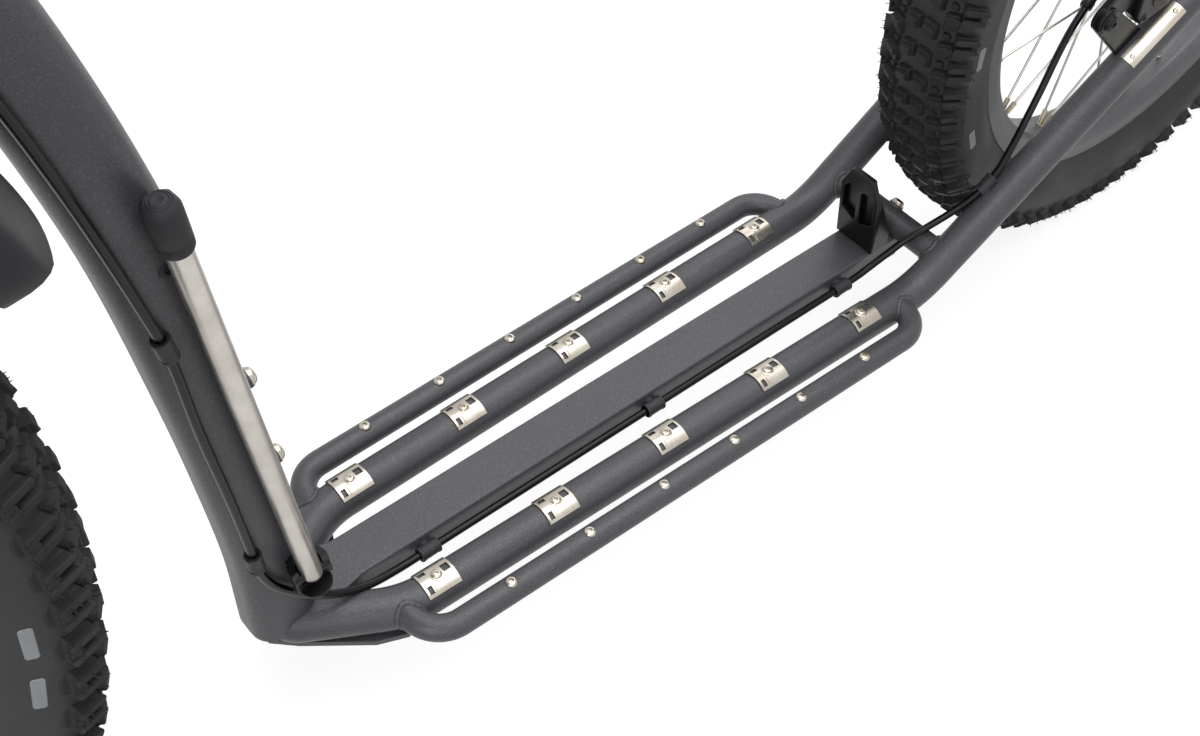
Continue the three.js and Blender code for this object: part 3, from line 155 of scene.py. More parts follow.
def placed(part, matrix):
    """The mesh moved and turned by a matrix."""
    verts, faces = part
    m = array(matrix)
    return verts @ m[:3, :3].T + m[:3, 3], faces


def shifted(part, x, y, z):
    return placed(part, Matrix.Translation((x, y, z)))


def spin(degrees, axis):
    return Matrix.Rotation(math.radians(degrees), 4, axis)


print("a circle of 6:", circle(1, 6).shape)

# %% [markdown]
# A bent tube has straight runs with an arc between them, as a bending tool leaves it. A hose has no
# straight runs, so it follows a smooth line through chosen points. Both are swept the same way: the ring
# keeps its own sideways direction from one station to the next, so that it never twists.

# %% Lines and sweeps
def bent(corners, radii, step=5.0):
    """Straight runs between corners, with an arc of the given radius at each corner."""
    corners = array(corners)
    points = [corners[0]]
    for corner, before, after, radius in zip(corners[1:-1], corners, corners[2:], radii):
        back, on = unit(before - corner), unit(after - corner)
        turning = math.pi - math.acos(np.clip(back @ on, -1, 1))
        start = corner + back * radius * math.tan(turning / 2)
        centre = corner + unit(back + on) * radius / math.cos(turning / 2)
        axis = unit(np.cross(on, back))
        steps = max(3, math.ceil(math.degrees(turning) / step))
        points += [centre + turned(start - centre, axis, turning * k / steps) for k in range(steps + 1)]
    return array(points + [corners[-1]])


def smooth(points, per_span=8):
    """A line through the points that bends evenly, and doesn't overshoot where they lie close."""
    p = array(points)
    p = np.vstack([2 * p[0] - p[1], p, 2 * p[-1] - p[-2]])
    line = []
    for a, b, c, d in zip(p, p[1:], p[2:], p[3:]):
        ta, tb, tc = (max(np.linalg.norm(v) ** 0.5, 1e-4) for v in (b - a, c - b, d - c))
        out = ((b - a) / ta - (c - a) / (ta + tb) + (c - b) / tb) * tb
        back = ((c - b) / tb - (d - b) / (tb + tc) + (d - c) / tc) * tb
        for t in np.arange(per_span) / per_span:
            line.append(b * (2 * t**3 - 3 * t**2 + 1) + out * (t**3 - 2 * t**2 + t)
                        + c * (3 * t**2 - 2 * t**3) + back * (t**3 - t**2))
    return array(line + [p[-2]])


def sweep(line, section, side=(0, 1, 0), scale=None, loop=False):
    """A section carried along a line. Its first axis starts out as near to side as it can."""
    line = array(line)
    if loop:
        tangents = np.roll(line, -1, axis=0) - np.roll(line, 1, axis=0)
    else:
        steps = np.diff(line, axis=0)
        steps /= np.linalg.norm(steps, axis=1)[:, None]
        tangents = np.vstack([steps[:1], steps[:-1] + steps[1:], steps[-1:]])
    rings, across_line = [], array(side)
    for i, (point, tangent) in enumerate(zip(line, tangents)):
        tangent = unit(tangent)
        across_line = unit(across_line - tangent * (tangent @ across_line))
        over = np.cross(tangent, across_line)
        shape = section if scale is None else section * scale[i]
        rings.append(point + np.outer(shape[:, 0], across_line) + np.outer(shape[:, 1], over))
    return skin(rings, loop=loop)


def tube(line, radius, sides, side=(0, 1, 0.01)):
    return sweep(line, circle(radius, sides), side=side)


def along(start, end):
    """The matrix that stands a piece made upright at the origin on start, pointing at end."""
    direction = Vector(array(end) - array(start)).normalized()
    return Matrix.Translation(Vector(start)) @ direction.to_track_quat("Z", "Y").to_matrix().to_4x4()


def lathe(profile, segments=48, loop=False):
    """Turned about Z from (height, radius) pairs."""
    rings = [np.column_stack([circle(max(r, 0.01), segments), np.full(segments, z)]) for z, r in profile]
    return skin(rings, loop=loop)


def rod(start, end, radius, sides=24, edge=0.0):
    """A cylinder from point to point, with a small chamfer at both ends."""
    length = float(np.linalg.norm(array(end) - array(start)))
    profile = [(0, radius), (length, radius)]
    if edge:
        profile = [(0, radius - edge), (edge, radius), (length - edge, radius), (length, radius - edge)]
    return placed(lathe(profile, sides), along(start, end))


def slab(outline, low, high):
    """A flat outline made thick along Z."""
    outline = array(outline)
    return skin([np.column_stack([outline, np.full(len(outline), z)]) for z in (low, high)])


def ring_band(inner, outer, low, high, edge=0.4, segments=48):
    """A flat ring with broken edges, turned about Z."""
    return lathe([(low, inner), (low, outer - edge), (low + edge, outer), (high - edge, outer),
                  (high, outer - edge), (high, inner)], segments, loop=True)


print("points in a bend:", len(bent([(0, 0, 0), (50, 0, 0), (50, 50, 0)], [20])))

# %% [markdown]
# Screws and welds are what make a frame look made. A button head is a low dome with a six-sided socket
# sunk into it. A weld bead is a thin rope of metal round the line where one tube meets another, so that
# line is found by sending rays along the tube to the piece it runs into.

# %% Screws and nuts
def hexagon(apothem, count=24):
    """Points on a six-sided outline, evenly spread in angle."""
    angles = np.linspace(0, 2 * math.pi, count, endpoint=False)
    return round_points(apothem / np.cos((angles + math.pi / 6) % (math.pi / 3) - math.pi / 6), angles)


def level(outline, height):
    return np.column_stack([outline, np.full(len(outline), height)])


def button_head(radius, height, socket):
    """A domed screw head standing on Z = 0, with a hexagon socket."""
    dome = [(0.0, 1.0), (0.3, 0.99), (0.62, 0.9), (0.85, 0.74), (0.97, 0.55)]
    rings = [level(circle(radius * r, 24), height * z) for z, r in dome]
    rings += [level(hexagon(socket * 1.06), height), level(hexagon(socket), height * 0.93),
              level(hexagon(socket * 0.96), height * 0.3)]
    return skin(rings)


def hex_nut(radius, low, high, bore, chamfer=0.8):
    """A nut about Z, with its corners taken off."""
    flat = radius * 0.866
    cut, inside = circle(flat, 24), circle(bore, 24)
    return skin([level(inside, low), level(cut, low), level(hexagon(flat), low + chamfer),
                 level(hexagon(flat), high - chamfer), level(cut, high), level(inside, high)], loop=True)


print("faces in a screw head:", len(button_head(4.7, 3.5, 1.9)[1]))


# %% Welds
def distances(line):
    """How far along the line each of its points lies."""
    return np.concatenate([[0], np.cumsum(np.linalg.norm(np.diff(line, axis=0), axis=1))])


def bead(line, radius, lump=0.05, pitch=3.6):
    """A rippled weld bead round a closed line."""
    travel = distances(np.vstack([line, line[:1]]))
    turns = max(1, round(float(travel[-1]) / pitch))
    wave = 1 + lump * np.cos(2 * math.pi * turns * travel[:-1] / travel[-1])
    return sweep(line, circle(radius, 10), side=unit(line[0] - line.mean(0)), scale=wave, loop=True)


def even(line, count):
    """The same closed line with evenly spaced points."""
    line = array(line)
    line = np.vstack([line, line[:1]])
    travel = distances(line)
    places = np.linspace(0, travel[-1], count, endpoint=False)
    return np.column_stack([np.interp(places, travel, line[:, k]) for k in range(3)])


def tree_of(part):
    """The mesh in the form that answers where a ray meets it."""
    return BVHTree.FromPolygons([tuple(v) for v in part[0]], [tuple(f) for f in part[1]])


def weld(ring, direction, target, count, radius):
    """A bead where lines from the points of a ring, along a direction, first meet the target mesh."""
    tree, direction = tree_of(target), Vector(unit(direction))
    hits = [tree.ray_cast(Vector(point), direction, 80.0)[0] for point in ring]
    return bead(even([hit for hit in hits if hit is not None], count), radius)


print("length of a ring of 8:", round(distances(even(level(circle(8, 60), 0), 60))[-1], 1), "mm")

# %% [markdown]
# The finishes come from a few shared node groups, each a pattern with its own size and strength: the
# flecks of powder coat, the lines that brushing leaves, the grain of rubber and the uneven shine that
# hands and dust give. A group only puts out masks, and each material decides what they change.

# %% Node groups
def new_group(name, inputs, outputs):
    group = bpy.data.node_groups.new(name, "ShaderNodeTree")
    for label, value in inputs.items():
        group.interface.new_socket(label, in_out="INPUT", socket_type="NodeSocketFloat").default_value = value
    for label in outputs:
        group.interface.new_socket(label, in_out="OUTPUT", socket_type="NodeSocketFloat")
    return group, group.nodes.new("NodeGroupInput").outputs, group.nodes.new("NodeGroupOutput").inputs


def node(tree, kind, links=(), **settings):
    """A node with its settings, and its inputs fed from (input, output) pairs or plain values."""
    made = tree.nodes.new(kind)
    for key, value in settings.items():
        setattr(made, key, value)
    for socket, source in dict(links).items():
        if isinstance(source, bpy.types.NodeSocket):
            tree.links.new(source, made.inputs[socket])
        else:
            made.inputs[socket].default_value = source
    return made


def own_place(tree):
    """Each point's place on its own piece, so that a pattern moves with the piece."""
    return node(tree, "ShaderNodeTexCoord").outputs["Object"]


def noise(tree, scale, detail, vector):
    links = {"Scale": scale, "Detail": detail, "Vector": vector}
    return node(tree, "ShaderNodeTexNoise", links).outputs["Fac"]


def calculate(tree, operation, first, second):
    return node(tree, "ShaderNodeMath", {0: first, 1: second}, operation=operation).outputs[0]


def fit_range(tree, value, low, high, out_low=0.0, out_high=1.0):
    links = {"Value": value, "From Min": low, "From Max": high, "To Min": out_low, "To Max": out_high}
    return node(tree, "ShaderNodeMapRange", links).outputs["Result"]


def powder_group():
    values = {"Fleck Scale": 2600, "Peel Scale": 900, "Fleck Share": 0.1}
    group, inputs, outputs = new_group("powder_coat", values, ["Flecks", "Peel", "Cloud"])
    place = own_place(group)
    cells = node(group, "ShaderNodeTexVoronoi", {"Vector": place, "Scale": inputs["Fleck Scale"]})
    tone = node(group, "ShaderNodeSeparateColor", {"Color": cells.outputs["Color"]}).outputs["Red"]
    flecks = calculate(group, "LESS_THAN", tone, inputs["Fleck Share"])
    group.links.new(flecks, outputs["Flecks"])
    group.links.new(noise(group, inputs["Peel Scale"], 3, place), outputs["Peel"])
    group.links.new(fit_range(group, noise(group, 14, 3, place), 0.3, 0.7), outputs["Cloud"])
    return group


def brushed_group():
    values = {"Scale": 900, "Stretch X": 1, "Stretch Y": 1, "Stretch Z": 0.02}
    group, inputs, outputs = new_group("brushed", values, ["Lines"])
    parts = {axis: inputs["Stretch " + axis] for axis in "XYZ"}
    stretch = node(group, "ShaderNodeCombineXYZ", parts).outputs[0]
    both = {0: own_place(group), 1: stretch}
    mapped = node(group, "ShaderNodeVectorMath", both, operation="MULTIPLY").outputs[0]
    group.links.new(noise(group, inputs["Scale"], 4, mapped), outputs["Lines"])
    return group


def handling_group():
    values = {"Patch Scale": 22, "Speck Scale": 420, "Speck Share": 0.3}
    group, inputs, outputs = new_group("handling", values, ["Patches", "Specks"])
    place = own_place(group)
    patches = fit_range(group, noise(group, inputs["Patch Scale"], 5, place), 0.38, 0.66)
    group.links.new(patches, outputs["Patches"])
    specks = noise(group, inputs["Speck Scale"], 2, place)
    faint = calculate(group, "SUBTRACT", 0.78, inputs["Speck Share"])
    group.links.new(fit_range(group, specks, faint, 0.85), outputs["Specks"])
    return group


def grain_group():
    group, inputs, outputs = new_group("grain", {"Scale": 1500, "Coarse Share": 0.4}, ["Grain"])
    place = own_place(group)
    fine = noise(group, inputs["Scale"], 4, place)
    coarse = noise(group, calculate(group, "MULTIPLY", inputs["Scale"], 0.22), 2, place)
    both = {"Factor": inputs["Coarse Share"], "A": fine, "B": coarse}
    group.links.new(node(group, "ShaderNodeMix", both).outputs["Result"], outputs["Grain"])
    return group


GROUPS = {"powder": powder_group(), "brushed": brushed_group(),
          "handling": handling_group(), "grain": grain_group()}
print("node groups:", sorted(GROUPS))

# %% [markdown]
# Each finish starts from one shader, whose plain values are typed on its own sockets. Colours are given
# as they look on a screen, from 0 to 255, and turned into the linear values that a shader wants. The slot
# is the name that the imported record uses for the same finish.

# %% Materials
def linear(*rgb):
    parts = [v / 255 for v in rgb]
    return tuple(v / 12.92 if v <= 0.04045 else ((v + 0.055) / 1.055) ** 2.4 for v in parts) + (1.0,)


def material(name, slot, colour, roughness, metallic=0.0, **sockets):
    made = bpy.data.materials.new(name)
    made.use_nodes = True
    made["slot"] = slot
    tree = made.node_tree
    shader = tree.nodes["Principled BSDF"]
    shader.inputs["Base Color"].default_value = linear(*colour)
    shader.inputs["Roughness"].default_value = roughness
    shader.inputs["Metallic"].default_value = metallic
    for label, value in sockets.items():
        shader.inputs[label.replace("_", " ")].default_value = value
    made.diffuse_color = linear(*colour)
    return made, tree, shader


def pattern(tree, name, **values):
    made = node(tree, "ShaderNodeGroup", node_tree=GROUPS[name])
    for label, value in values.items():
        made.inputs[label.replace("_", " ")].default_value = value
    return made.outputs


def tint(tree, shader, mask, first, second):
    """Base colour that goes from first, a colour or a socket, to second with the mask."""
    mixed = tree.nodes.new("ShaderNodeMix")
    mixed.data_type = "RGBA"
    inputs = {socket.identifier: socket for socket in mixed.inputs}
    result = [socket for socket in mixed.outputs if socket.identifier == "Result_Color"][0]
    tree.links.new(mask, inputs["Factor_Float"])
    if isinstance(first, bpy.types.NodeSocket):
        tree.links.new(first, inputs["A_Color"])
    else:
        inputs["A_Color"].default_value = linear(*first)
    inputs["B_Color"].default_value = linear(*second)
    tree.links.new(result, shader.inputs["Base Color"])
    return result


def rough_between(tree, shader, mask, low, high):
    tree.links.new(fit_range(tree, mask, 0, 1, low, high), shader.inputs["Roughness"])


def bump(tree, shader, height, strength, distance):
    made = node(tree, "ShaderNodeBump", {"Height": height, "Strength": strength, "Distance": distance})
    tree.links.new(made.outputs["Normal"], shader.inputs["Normal"])


def powder_coat(name, colour, cloud, fleck):
    """Paint baked on from powder: faint clouds, tiny pale flecks and a slightly wavy skin."""
    made, tree, shader = material(name, "frame_paint", colour, 0.5, 0.12, Specular_IOR_Level=0.35)
    masks = pattern(tree, "powder")
    base = tint(tree, shader, masks["Cloud"], colour, cloud)
    tint(tree, shader, masks["Flecks"], base, fleck)
    rough_between(tree, shader, masks["Flecks"], 0.44, 0.34)
    bump(tree, shader, masks["Peel"], 0.22, 0.0004)
    return made


def metal(name, colour, darker, low, high, scale, stretch_z=1):
    """Bare metal with brushing lines, which lie round the Z axis where stretch_z is small."""
    made, tree, shader = material(name, "stainless", colour, (low + high) / 2, 1.0)
    lines = pattern(tree, "brushed", Scale=scale, Stretch_Z=stretch_z)
    marks = pattern(tree, "handling", Patch_Scale=60)
    tint(tree, shader, marks["Patches"], colour, darker)
    rough_between(tree, shader, lines["Lines"], low, high)
    bump(tree, shader, lines["Lines"], 0.12, 0.0002)
    return made


def moulded(name, slot, colour, worn, low, high, grain, strength, metallic=0.0):
    """Rubber, plastic or black alloy: an even colour, dusty patches and a fine grain."""
    made, tree, shader = material(name, slot, colour, (low + high) / 2, metallic, Specular_IOR_Level=0.25)
    marks = pattern(tree, "handling")
    base = tint(tree, shader, marks["Patches"], colour, worn)
    tint(tree, shader, marks["Specks"], base, worn)
    rough_between(tree, shader, marks["Patches"], low, high)
    bump(tree, shader, pattern(tree, "grain", Scale=grain)["Grain"], strength, 0.0003)
    return made


print("finish helpers ready for", len(GROUPS), "patterns")

# %% The finishes of this kick bike
PAINT = powder_coat("powder_coat_anthracite", (79, 79, 83), (84, 84, 88), (104, 104, 108))
STEEL = metal("stainless_satin", (190, 184, 174), (172, 164, 152), 0.22, 0.36, 700)
STEEL_TUBE = metal("stainless_brushed_tube", (196, 191, 185), (182, 176, 169), 0.24, 0.44, 1500, 0.012)
SPOKE = metal("spoke_steel", (192, 190, 185), (176, 173, 167), 0.25, 0.4, 400)
BRASS = metal("nipple_brass", (180, 170, 152), (160, 150, 130), 0.3, 0.45, 400)
ROTOR = metal("rotor_steel", (176, 174, 170), (150, 147, 142), 0.3, 0.45, 1200)
ALLOY = moulded("black_anodised", "black_alloy", (11, 12, 14), (18, 19, 21), 0.28, 0.42, 2600, 0.08)
PLASTIC = moulded("moulded_plastic", "black_plastic", (28, 29, 32), (38, 39, 42), 0.42, 0.6, 1700, 0.15)
CLIP = moulded("clip_plastic", "black_plastic", (52, 53, 56), (60, 61, 64), 0.42, 0.56, 1700, 0.15)
RUBBER = moulded("rubber_foot", "black_rubber", (30, 30, 33), (56, 56, 59), 0.46, 0.66, 1300, 0.25)
HOSE = moulded("hose_jacket", "black_rubber", (11, 12, 15), (17, 18, 21), 0.26, 0.38, 2400, 0.06)
TREAD = moulded("tyre_tread", "tyre", (33, 33, 36), (48, 48, 49), 0.5, 0.78, 900, 0.35)
WALL = moulded("tyre_sidewall", "tyre", (57, 57, 60), (67, 66, 66), 0.5, 0.72, 1100, 0.3)
MARK = moulded("reflective_dash", "tyre", (170, 174, 178), (150, 154, 158), 0.4, 0.6, 1400, 0.1)
RIM = moulded("rim_satin", "rim", (100, 101, 103), (110, 111, 113), 0.34, 0.5, 2200, 0.06, metallic=0.3)
print("materials:", len([m for m in bpy.data.materials if "slot" in m]))

# %% [markdown]
# One helper turns a shape into a piece: it makes the mesh in metres, smooths what is round and keeps
# real edges sharp, gives a small rounded edge where asked, hangs the piece on the body it moves with,
# and hides the imported nodes it stands for.

# %% Pieces
def finished(made, finish, edge, sharp, segments=2):
    """Gives an object its finish, smooth faces, sharp edges where it bends hard, and rounded edges."""
    made.data.materials.clear()
    made.data.materials.append(finish)
    made.data.polygons.foreach_set("use_smooth", [True] * len(made.data.polygons))
    made.data.set_sharp_from_angle(angle=math.radians(sharp))
    if edge:
        rounding = made.modifiers.new("edges", "BEVEL")
        rounding.width, rounding.segments = edge / 1000, segments
        rounding.limit_method, rounding.angle_limit = "ANGLE", math.radians(sharp)
        return rounding


def piece(name, part, finish, body, stands_for=(), matrix=None, edge=0.0, sharp=38, segments=2):
    """A new object from a shape in millimetres, riding on a body."""
    verts, faces = placed(part, matrix) if matrix is not None else part
    mesh = bpy.data.meshes.new(name)
    mesh.from_pydata((verts / 1000).tolist(), [], [list(face) for face in faces])
    made = bpy.data.objects.new(name, mesh)
    bpy.context.scene.collection.objects.link(made)
    rounding = finished(made, finish, edge, sharp, segments)
    if rounding:
        rounding.harden_normals = True
    if body:
        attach(made, body)
    if stands_for:
        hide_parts(*stands_for)
    return made


def dress(name, finish, edge):
    """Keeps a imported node, with a real finish and slightly rounded edges."""
    finished(nodes[name], finish, edge, 32)


print("packed nodes to replace or dress:", len(nodes))


# %% Plates with holes
def pierced(outlines, low, high, edge=0.3):
    """A flat plate made by a filled curve. The first outline is its rim, the rest are holes."""
    curve = bpy.data.curves.new("plate", "CURVE")
    curve.dimensions, curve.fill_mode = "2D", "BOTH"
    curve.extrude, curve.bevel_depth, curve.offset = (high - low) / 2 - edge, edge, -edge
    curve.bevel_resolution = 1
    for outline in outlines:
        spline = curve.splines.new("POLY")
        spline.points.add(len(outline) - 1)
        spline.points.foreach_set("co", np.insert(level(outline, 0.0), 3, 1.0, axis=1).ravel())
        spline.use_cyclic_u = True
    holder = bpy.data.objects.new("plate", curve)
    bpy.context.scene.collection.objects.link(holder)
    mesh = bpy.data.meshes.new_from_object(holder.evaluated_get(bpy.context.evaluated_depsgraph_get()))
    verts = array([v.co for v in mesh.vertices])
    verts[:, 2] += (low + high) / 2
    faces = [tuple(face.vertices) for face in mesh.polygons]
    bpy.data.objects.remove(holder)
    bpy.data.meshes.remove(mesh)
    return verts, faces


def link_outline(a, a_radius, b, b_radius, steps=20):
    """Two circles and their outer tangents."""
    a, b = array(a), array(b)
    length = np.linalg.norm(b - a)
    heading = math.atan2(*(b - a)[::-1])
    opening = math.acos((a_radius - b_radius) / length)
    first = heading + opening + np.linspace(0, 2 * math.pi - 2 * opening, steps)
    second = heading - opening + np.linspace(0, 2 * opening, steps)
    return np.vstack([a + round_points(a_radius, first), b + round_points(b_radius, second)])


def side_on(outlines, low, high, edge=0.3):
    """A pierced plate drawn in the X-Z plane, thick along Y."""
    verts, faces = pierced(outlines, low, high, edge)
    return outwards(verts[:, [0, 2, 1]], faces)


print("points round a link:", len(link_outline((0, 0), 5, (20, 0), 3)))

# %% [markdown]
# The frame is round tube bent to a radius, so each rail is one long sweep from the nose to the rear axle.
# The two rails meet in front in a butt weld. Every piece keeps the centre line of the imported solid, and
# only gets more sides.

# %% The rails' centre lines
SIDES = (("left", 1), ("right", -1))
RAIL_RADIUS, FOOT_RADIUS = 12.5, 8
RAIL_Z, FOOT_Z = -11, -8
NOSE_X, NOSE_HALF, NOSE_SPREAD = 251, 9.3, 0.572
DECK_FRONT, DECK_REAR, STAY_END = 192.92, -227.7, -479
FOOT_FRONT, FOOT_REAR = 196, -206
STAY_ANGLE = math.radians(32.5)
STAY_TAPER = 0.0176


def rail_y(x):
    """The left rail's distance from the middle beside the deck: it grows towards the rear wheel."""
    return 47 - 0.0232 * x


def foot_y(x):
    return 75.1 - 0.0227 * x


def stay_point(x):
    """A point of the left rail where it climbs to the rear axle."""
    back = DECK_REAR - x
    return array([x, rail_y(DECK_REAR) + back * STAY_TAPER, RAIL_Z + back * math.tan(STAY_ANGLE)])


def rail_line(side):
    left = [(NOSE_X, 0.15, RAIL_Z), (NOSE_X, NOSE_HALF, RAIL_Z), (DECK_FRONT, rail_y(DECK_FRONT), RAIL_Z),
            (DECK_REAR, rail_y(DECK_REAR), RAIL_Z), stay_point(STAY_END)]
    return bent(array(left) * (1, side, 1), [15.4, 60, 68], 4)


def foot_line(side):
    nose_y = NOSE_HALF + NOSE_SPREAD * (NOSE_X - FOOT_FRONT)
    left = [(FOOT_FRONT, nose_y, FOOT_Z), (FOOT_FRONT, foot_y(FOOT_FRONT), FOOT_Z),
            (FOOT_REAR, foot_y(FOOT_REAR), FOOT_Z), (FOOT_REAR, rail_y(FOOT_REAR), FOOT_Z)]
    return bent(array(left) * (1, side, 1), [21, 21], 6)


print("rail points:", len(rail_line(1)), "foot rail points:", len(foot_line(1)))

# %% Rails and foot rails
SCREW_PLACES = ((140.7, 0.2), (83.2, 1.0), (25.7, 0.5), (-31.8, 0.9), (-89.3, 0.1), (-146.8, 0.7))
rails = {side: tube(rail_line(side), RAIL_RADIUS, 48) for _, side in SIDES}
foot_screw = button_head(3.6, 2.0, 1.4)
for name, side in SIDES:
    line = foot_line(side)
    welds = []
    for inner, before in ((line[0], line[1]), (line[-1], line[-2])):
        away = unit(before - inner)
        ends = circle(FOOT_RADIUS, 60)
        level_way = unit(np.cross(away, (0, 0, 1)))
        ring = before + np.outer(ends[:, 0], level_way) + np.outer(ends[:, 1], (0, 0, 1))
        welds.append(weld(ring + away * 12, -away, rails[side], 160, 1.7))
    piece(f"rail_{name}", joined([rails[side]] + welds), PAINT, "frame", [f"{name}_rail"])
    piece(f"foot_rail_{name}", tube(line, FOOT_RADIUS, 32), PAINT, "frame", [f"{name}_foot_rail"])
    heads = [shifted(placed(foot_screw, Matrix.Rotation(turn_by, 4, "Z")),
                     x, side * foot_y(x), FOOT_Z + FOOT_RADIUS - 0.25) for x, turn_by in SCREW_PLACES]
    piece(f"foot_screws_{name}", joined(heads), STEEL, "frame")
print("screws in each foot rail:", len(SCREW_PLACES))

# %% The cross tube and its bolt
CROSS_X, CROSS_Z, CROSS_RADIUS = -253.1, 5.2, 9.5
cross_end = array([CROSS_X, rail_y(CROSS_X), CROSS_Z])
cross_parts = [rod(cross_end * (1, -1, 1), cross_end, CROSS_RADIUS, 40)]
cross_middle = array([CROSS_X, 0, CROSS_Z])
bolt_angle = math.radians(42)
bolt_out = array([-math.cos(bolt_angle), 0, math.sin(bolt_angle)])
cross_parts.append(rod(cross_middle, cross_middle + bolt_out * 11, 5.5, 32, 0.4))
for side in (1, -1):
    ring = cross_middle + np.insert(circle(CROSS_RADIUS, 60), 1, side * 20.0, axis=1)
    cross_parts.append(weld(ring, (0, side, 0), rails[side], 150, 1.7))
piece("cross_tube_round", joined(cross_parts), PAINT, "frame", ["cross_tube"])
washered_bolt = joined([lathe([(0, 5.4), (0.7, 5.4), (1.0, 5.1)], 36),
                        shifted(button_head(4.6, 2.9, 1.9), 0, 0, 0.9)])
bolt_place = along(cross_middle + bolt_out * 10.6, cross_middle + bolt_out * 12)
piece("cross_bolt", placed(washered_bolt, bolt_place), STEEL, "frame")
print("cross tube length:", round(2 * cross_end[1], 1), "mm")

# %% [markdown]
# The down tube is a tall rounded box that sweeps up from the nose to the head tube, where the fork turns. A
# flat belly plate closes its foot from below. The two bolts on its rear face are there to carry a bottle.

# %% Where the fork turns
HEAD_ANGLE = math.radians(71)
HEAD_LOW, HEAD_HIGH, HEAD_RADIUS = 12, 152, 24
FORK_RAKE, FORK_LENGTH = 45, 420
FORK_DROP = math.sqrt(FORK_LENGTH**2 - FORK_RAKE**2)
FRONT_AXLE = (688.3, 0, 249)
STEER_UP = array([-math.cos(HEAD_ANGLE), 0, math.sin(HEAD_ANGLE)])
STEER_AHEAD = array([math.sin(HEAD_ANGLE), 0, math.cos(HEAD_ANGLE)])
CROWN = FRONT_AXLE - FORK_RAKE * STEER_AHEAD + FORK_DROP * STEER_UP
HEAD = Matrix.Translation(CROWN) @ spin(71 - 90, "Y")
STEER = HEAD @ spin(-16.1, "Z")
print("crown at", np.round(CROWN, 1))

# %% The down tube's line and section
TUBE_WIDE, TUBE_DEEP = 36, 40
tube_shares = array([[0, 0], [0.0085, 0.0859], [0.0363, 0.1788], [0.0793, 0.2886], [0.1621, 0.4518],
                     [0.3007, 0.6151], [0.4782, 0.7531], [0.7124, 0.8819], [1, 1]])
tube_base = array([250.5, 0, -9])
tube_top = CROWN + STEER_UP * (HEAD_LOW + (HEAD_HIGH - HEAD_LOW) * 0.46)
down_line = smooth(tube_base + np.insert(tube_shares, 1, 0, axis=1) * (tube_top - tube_base), 10)
down_section = rounded_box(TUBE_WIDE, TUBE_DEEP, 13, 8)
downtube = sweep(down_line, down_section)


def tube_rear(z):
    """A point on the down tube's rear face and the way it faces."""
    index = int(np.argmax(down_line[:, 2] > z))
    low, high = down_line[index - 1], down_line[index]
    way = unit(high - low)
    out = array([-way[2], 0, way[0]])
    return low + (z - low[2]) / (high[2] - low[2]) * (high - low) + out * TUBE_DEEP / 2, out


print("down tube rings:", len(down_line))

# %% Down tube, head tube and their welds
head_shell = placed(rod((0, 0, HEAD_LOW), (0, 0, HEAD_HIGH), HEAD_RADIUS, 64, 0.6), HEAD)
tube_way = unit(down_line[-1] - down_line[-2])
tube_over = np.cross(tube_way, (0, 1, 0))
top_ring = np.outer(down_section[:, 0], (0, 1, 0)) + np.outer(down_section[:, 1], tube_over)
top_weld = weld(down_line[-1] - tube_way * 60 + top_ring, tube_way, head_shell, 200, 2.0)
bosses, bolts = [], []
for z in (120, 183.5):
    place, out = tube_rear(z)
    bosses.append(rod(place - out * 3, place + out * 3, 5.5, 32, 0.5))
    bolts.append(placed(washered_bolt, along(place + out * 2.6, place + out * 4)))
piece("downtube_shell", joined([downtube, top_weld] + bosses), PAINT, "frame", ["downtube"])
piece("bottle_bolts", joined(bolts), STEEL, "frame")
piece("head_tube_shell", head_shell, PAINT, "frame", ["head_tube"])
print("faces of the head weld:", len(top_weld[1]))

# %% Plug, beam and plates
plug_ray = Vector((279, 80, 294)), Vector((0, -1, 0))
plug_at, plug_out = (array(v) for v in tree_of(downtube).ray_cast(*plug_ray)[:2])
plug_place = along(plug_at - plug_out * 0.3, plug_at + plug_out)
piece("tube_plug", placed(button_head(4.6, 1.1, 2.0), plug_place), PLASTIC, "frame", sharp=30)
beam_half = [(CROSS_X, -15), (203, -15), (222, -19), (246, -19)]
beam_outline = beam_half + [(x, -y) for x, y in reversed(beam_half)]
piece("deck_beam_shell", slab(beam_outline, -20, 0), PAINT, "frame", ["deck_beam"], edge=1.6, segments=3)
dress("belly_plate", PAINT, 0.5)
dress("left_dropout", PAINT, 0.4)
dress("right_dropout", PAINT, 0.4)
print("plug at", np.round(plug_at, 1))

# %% [markdown]
# A cleat is thin stainless sheet, cut with windows and rolled over the rail, with a hexagon-socket screw in
# the middle. The windows are plain rectangles. The sheet is drawn flat as a grid of cells, the cells of the
# windows are left out, and the rest is rolled round the rail's axis.

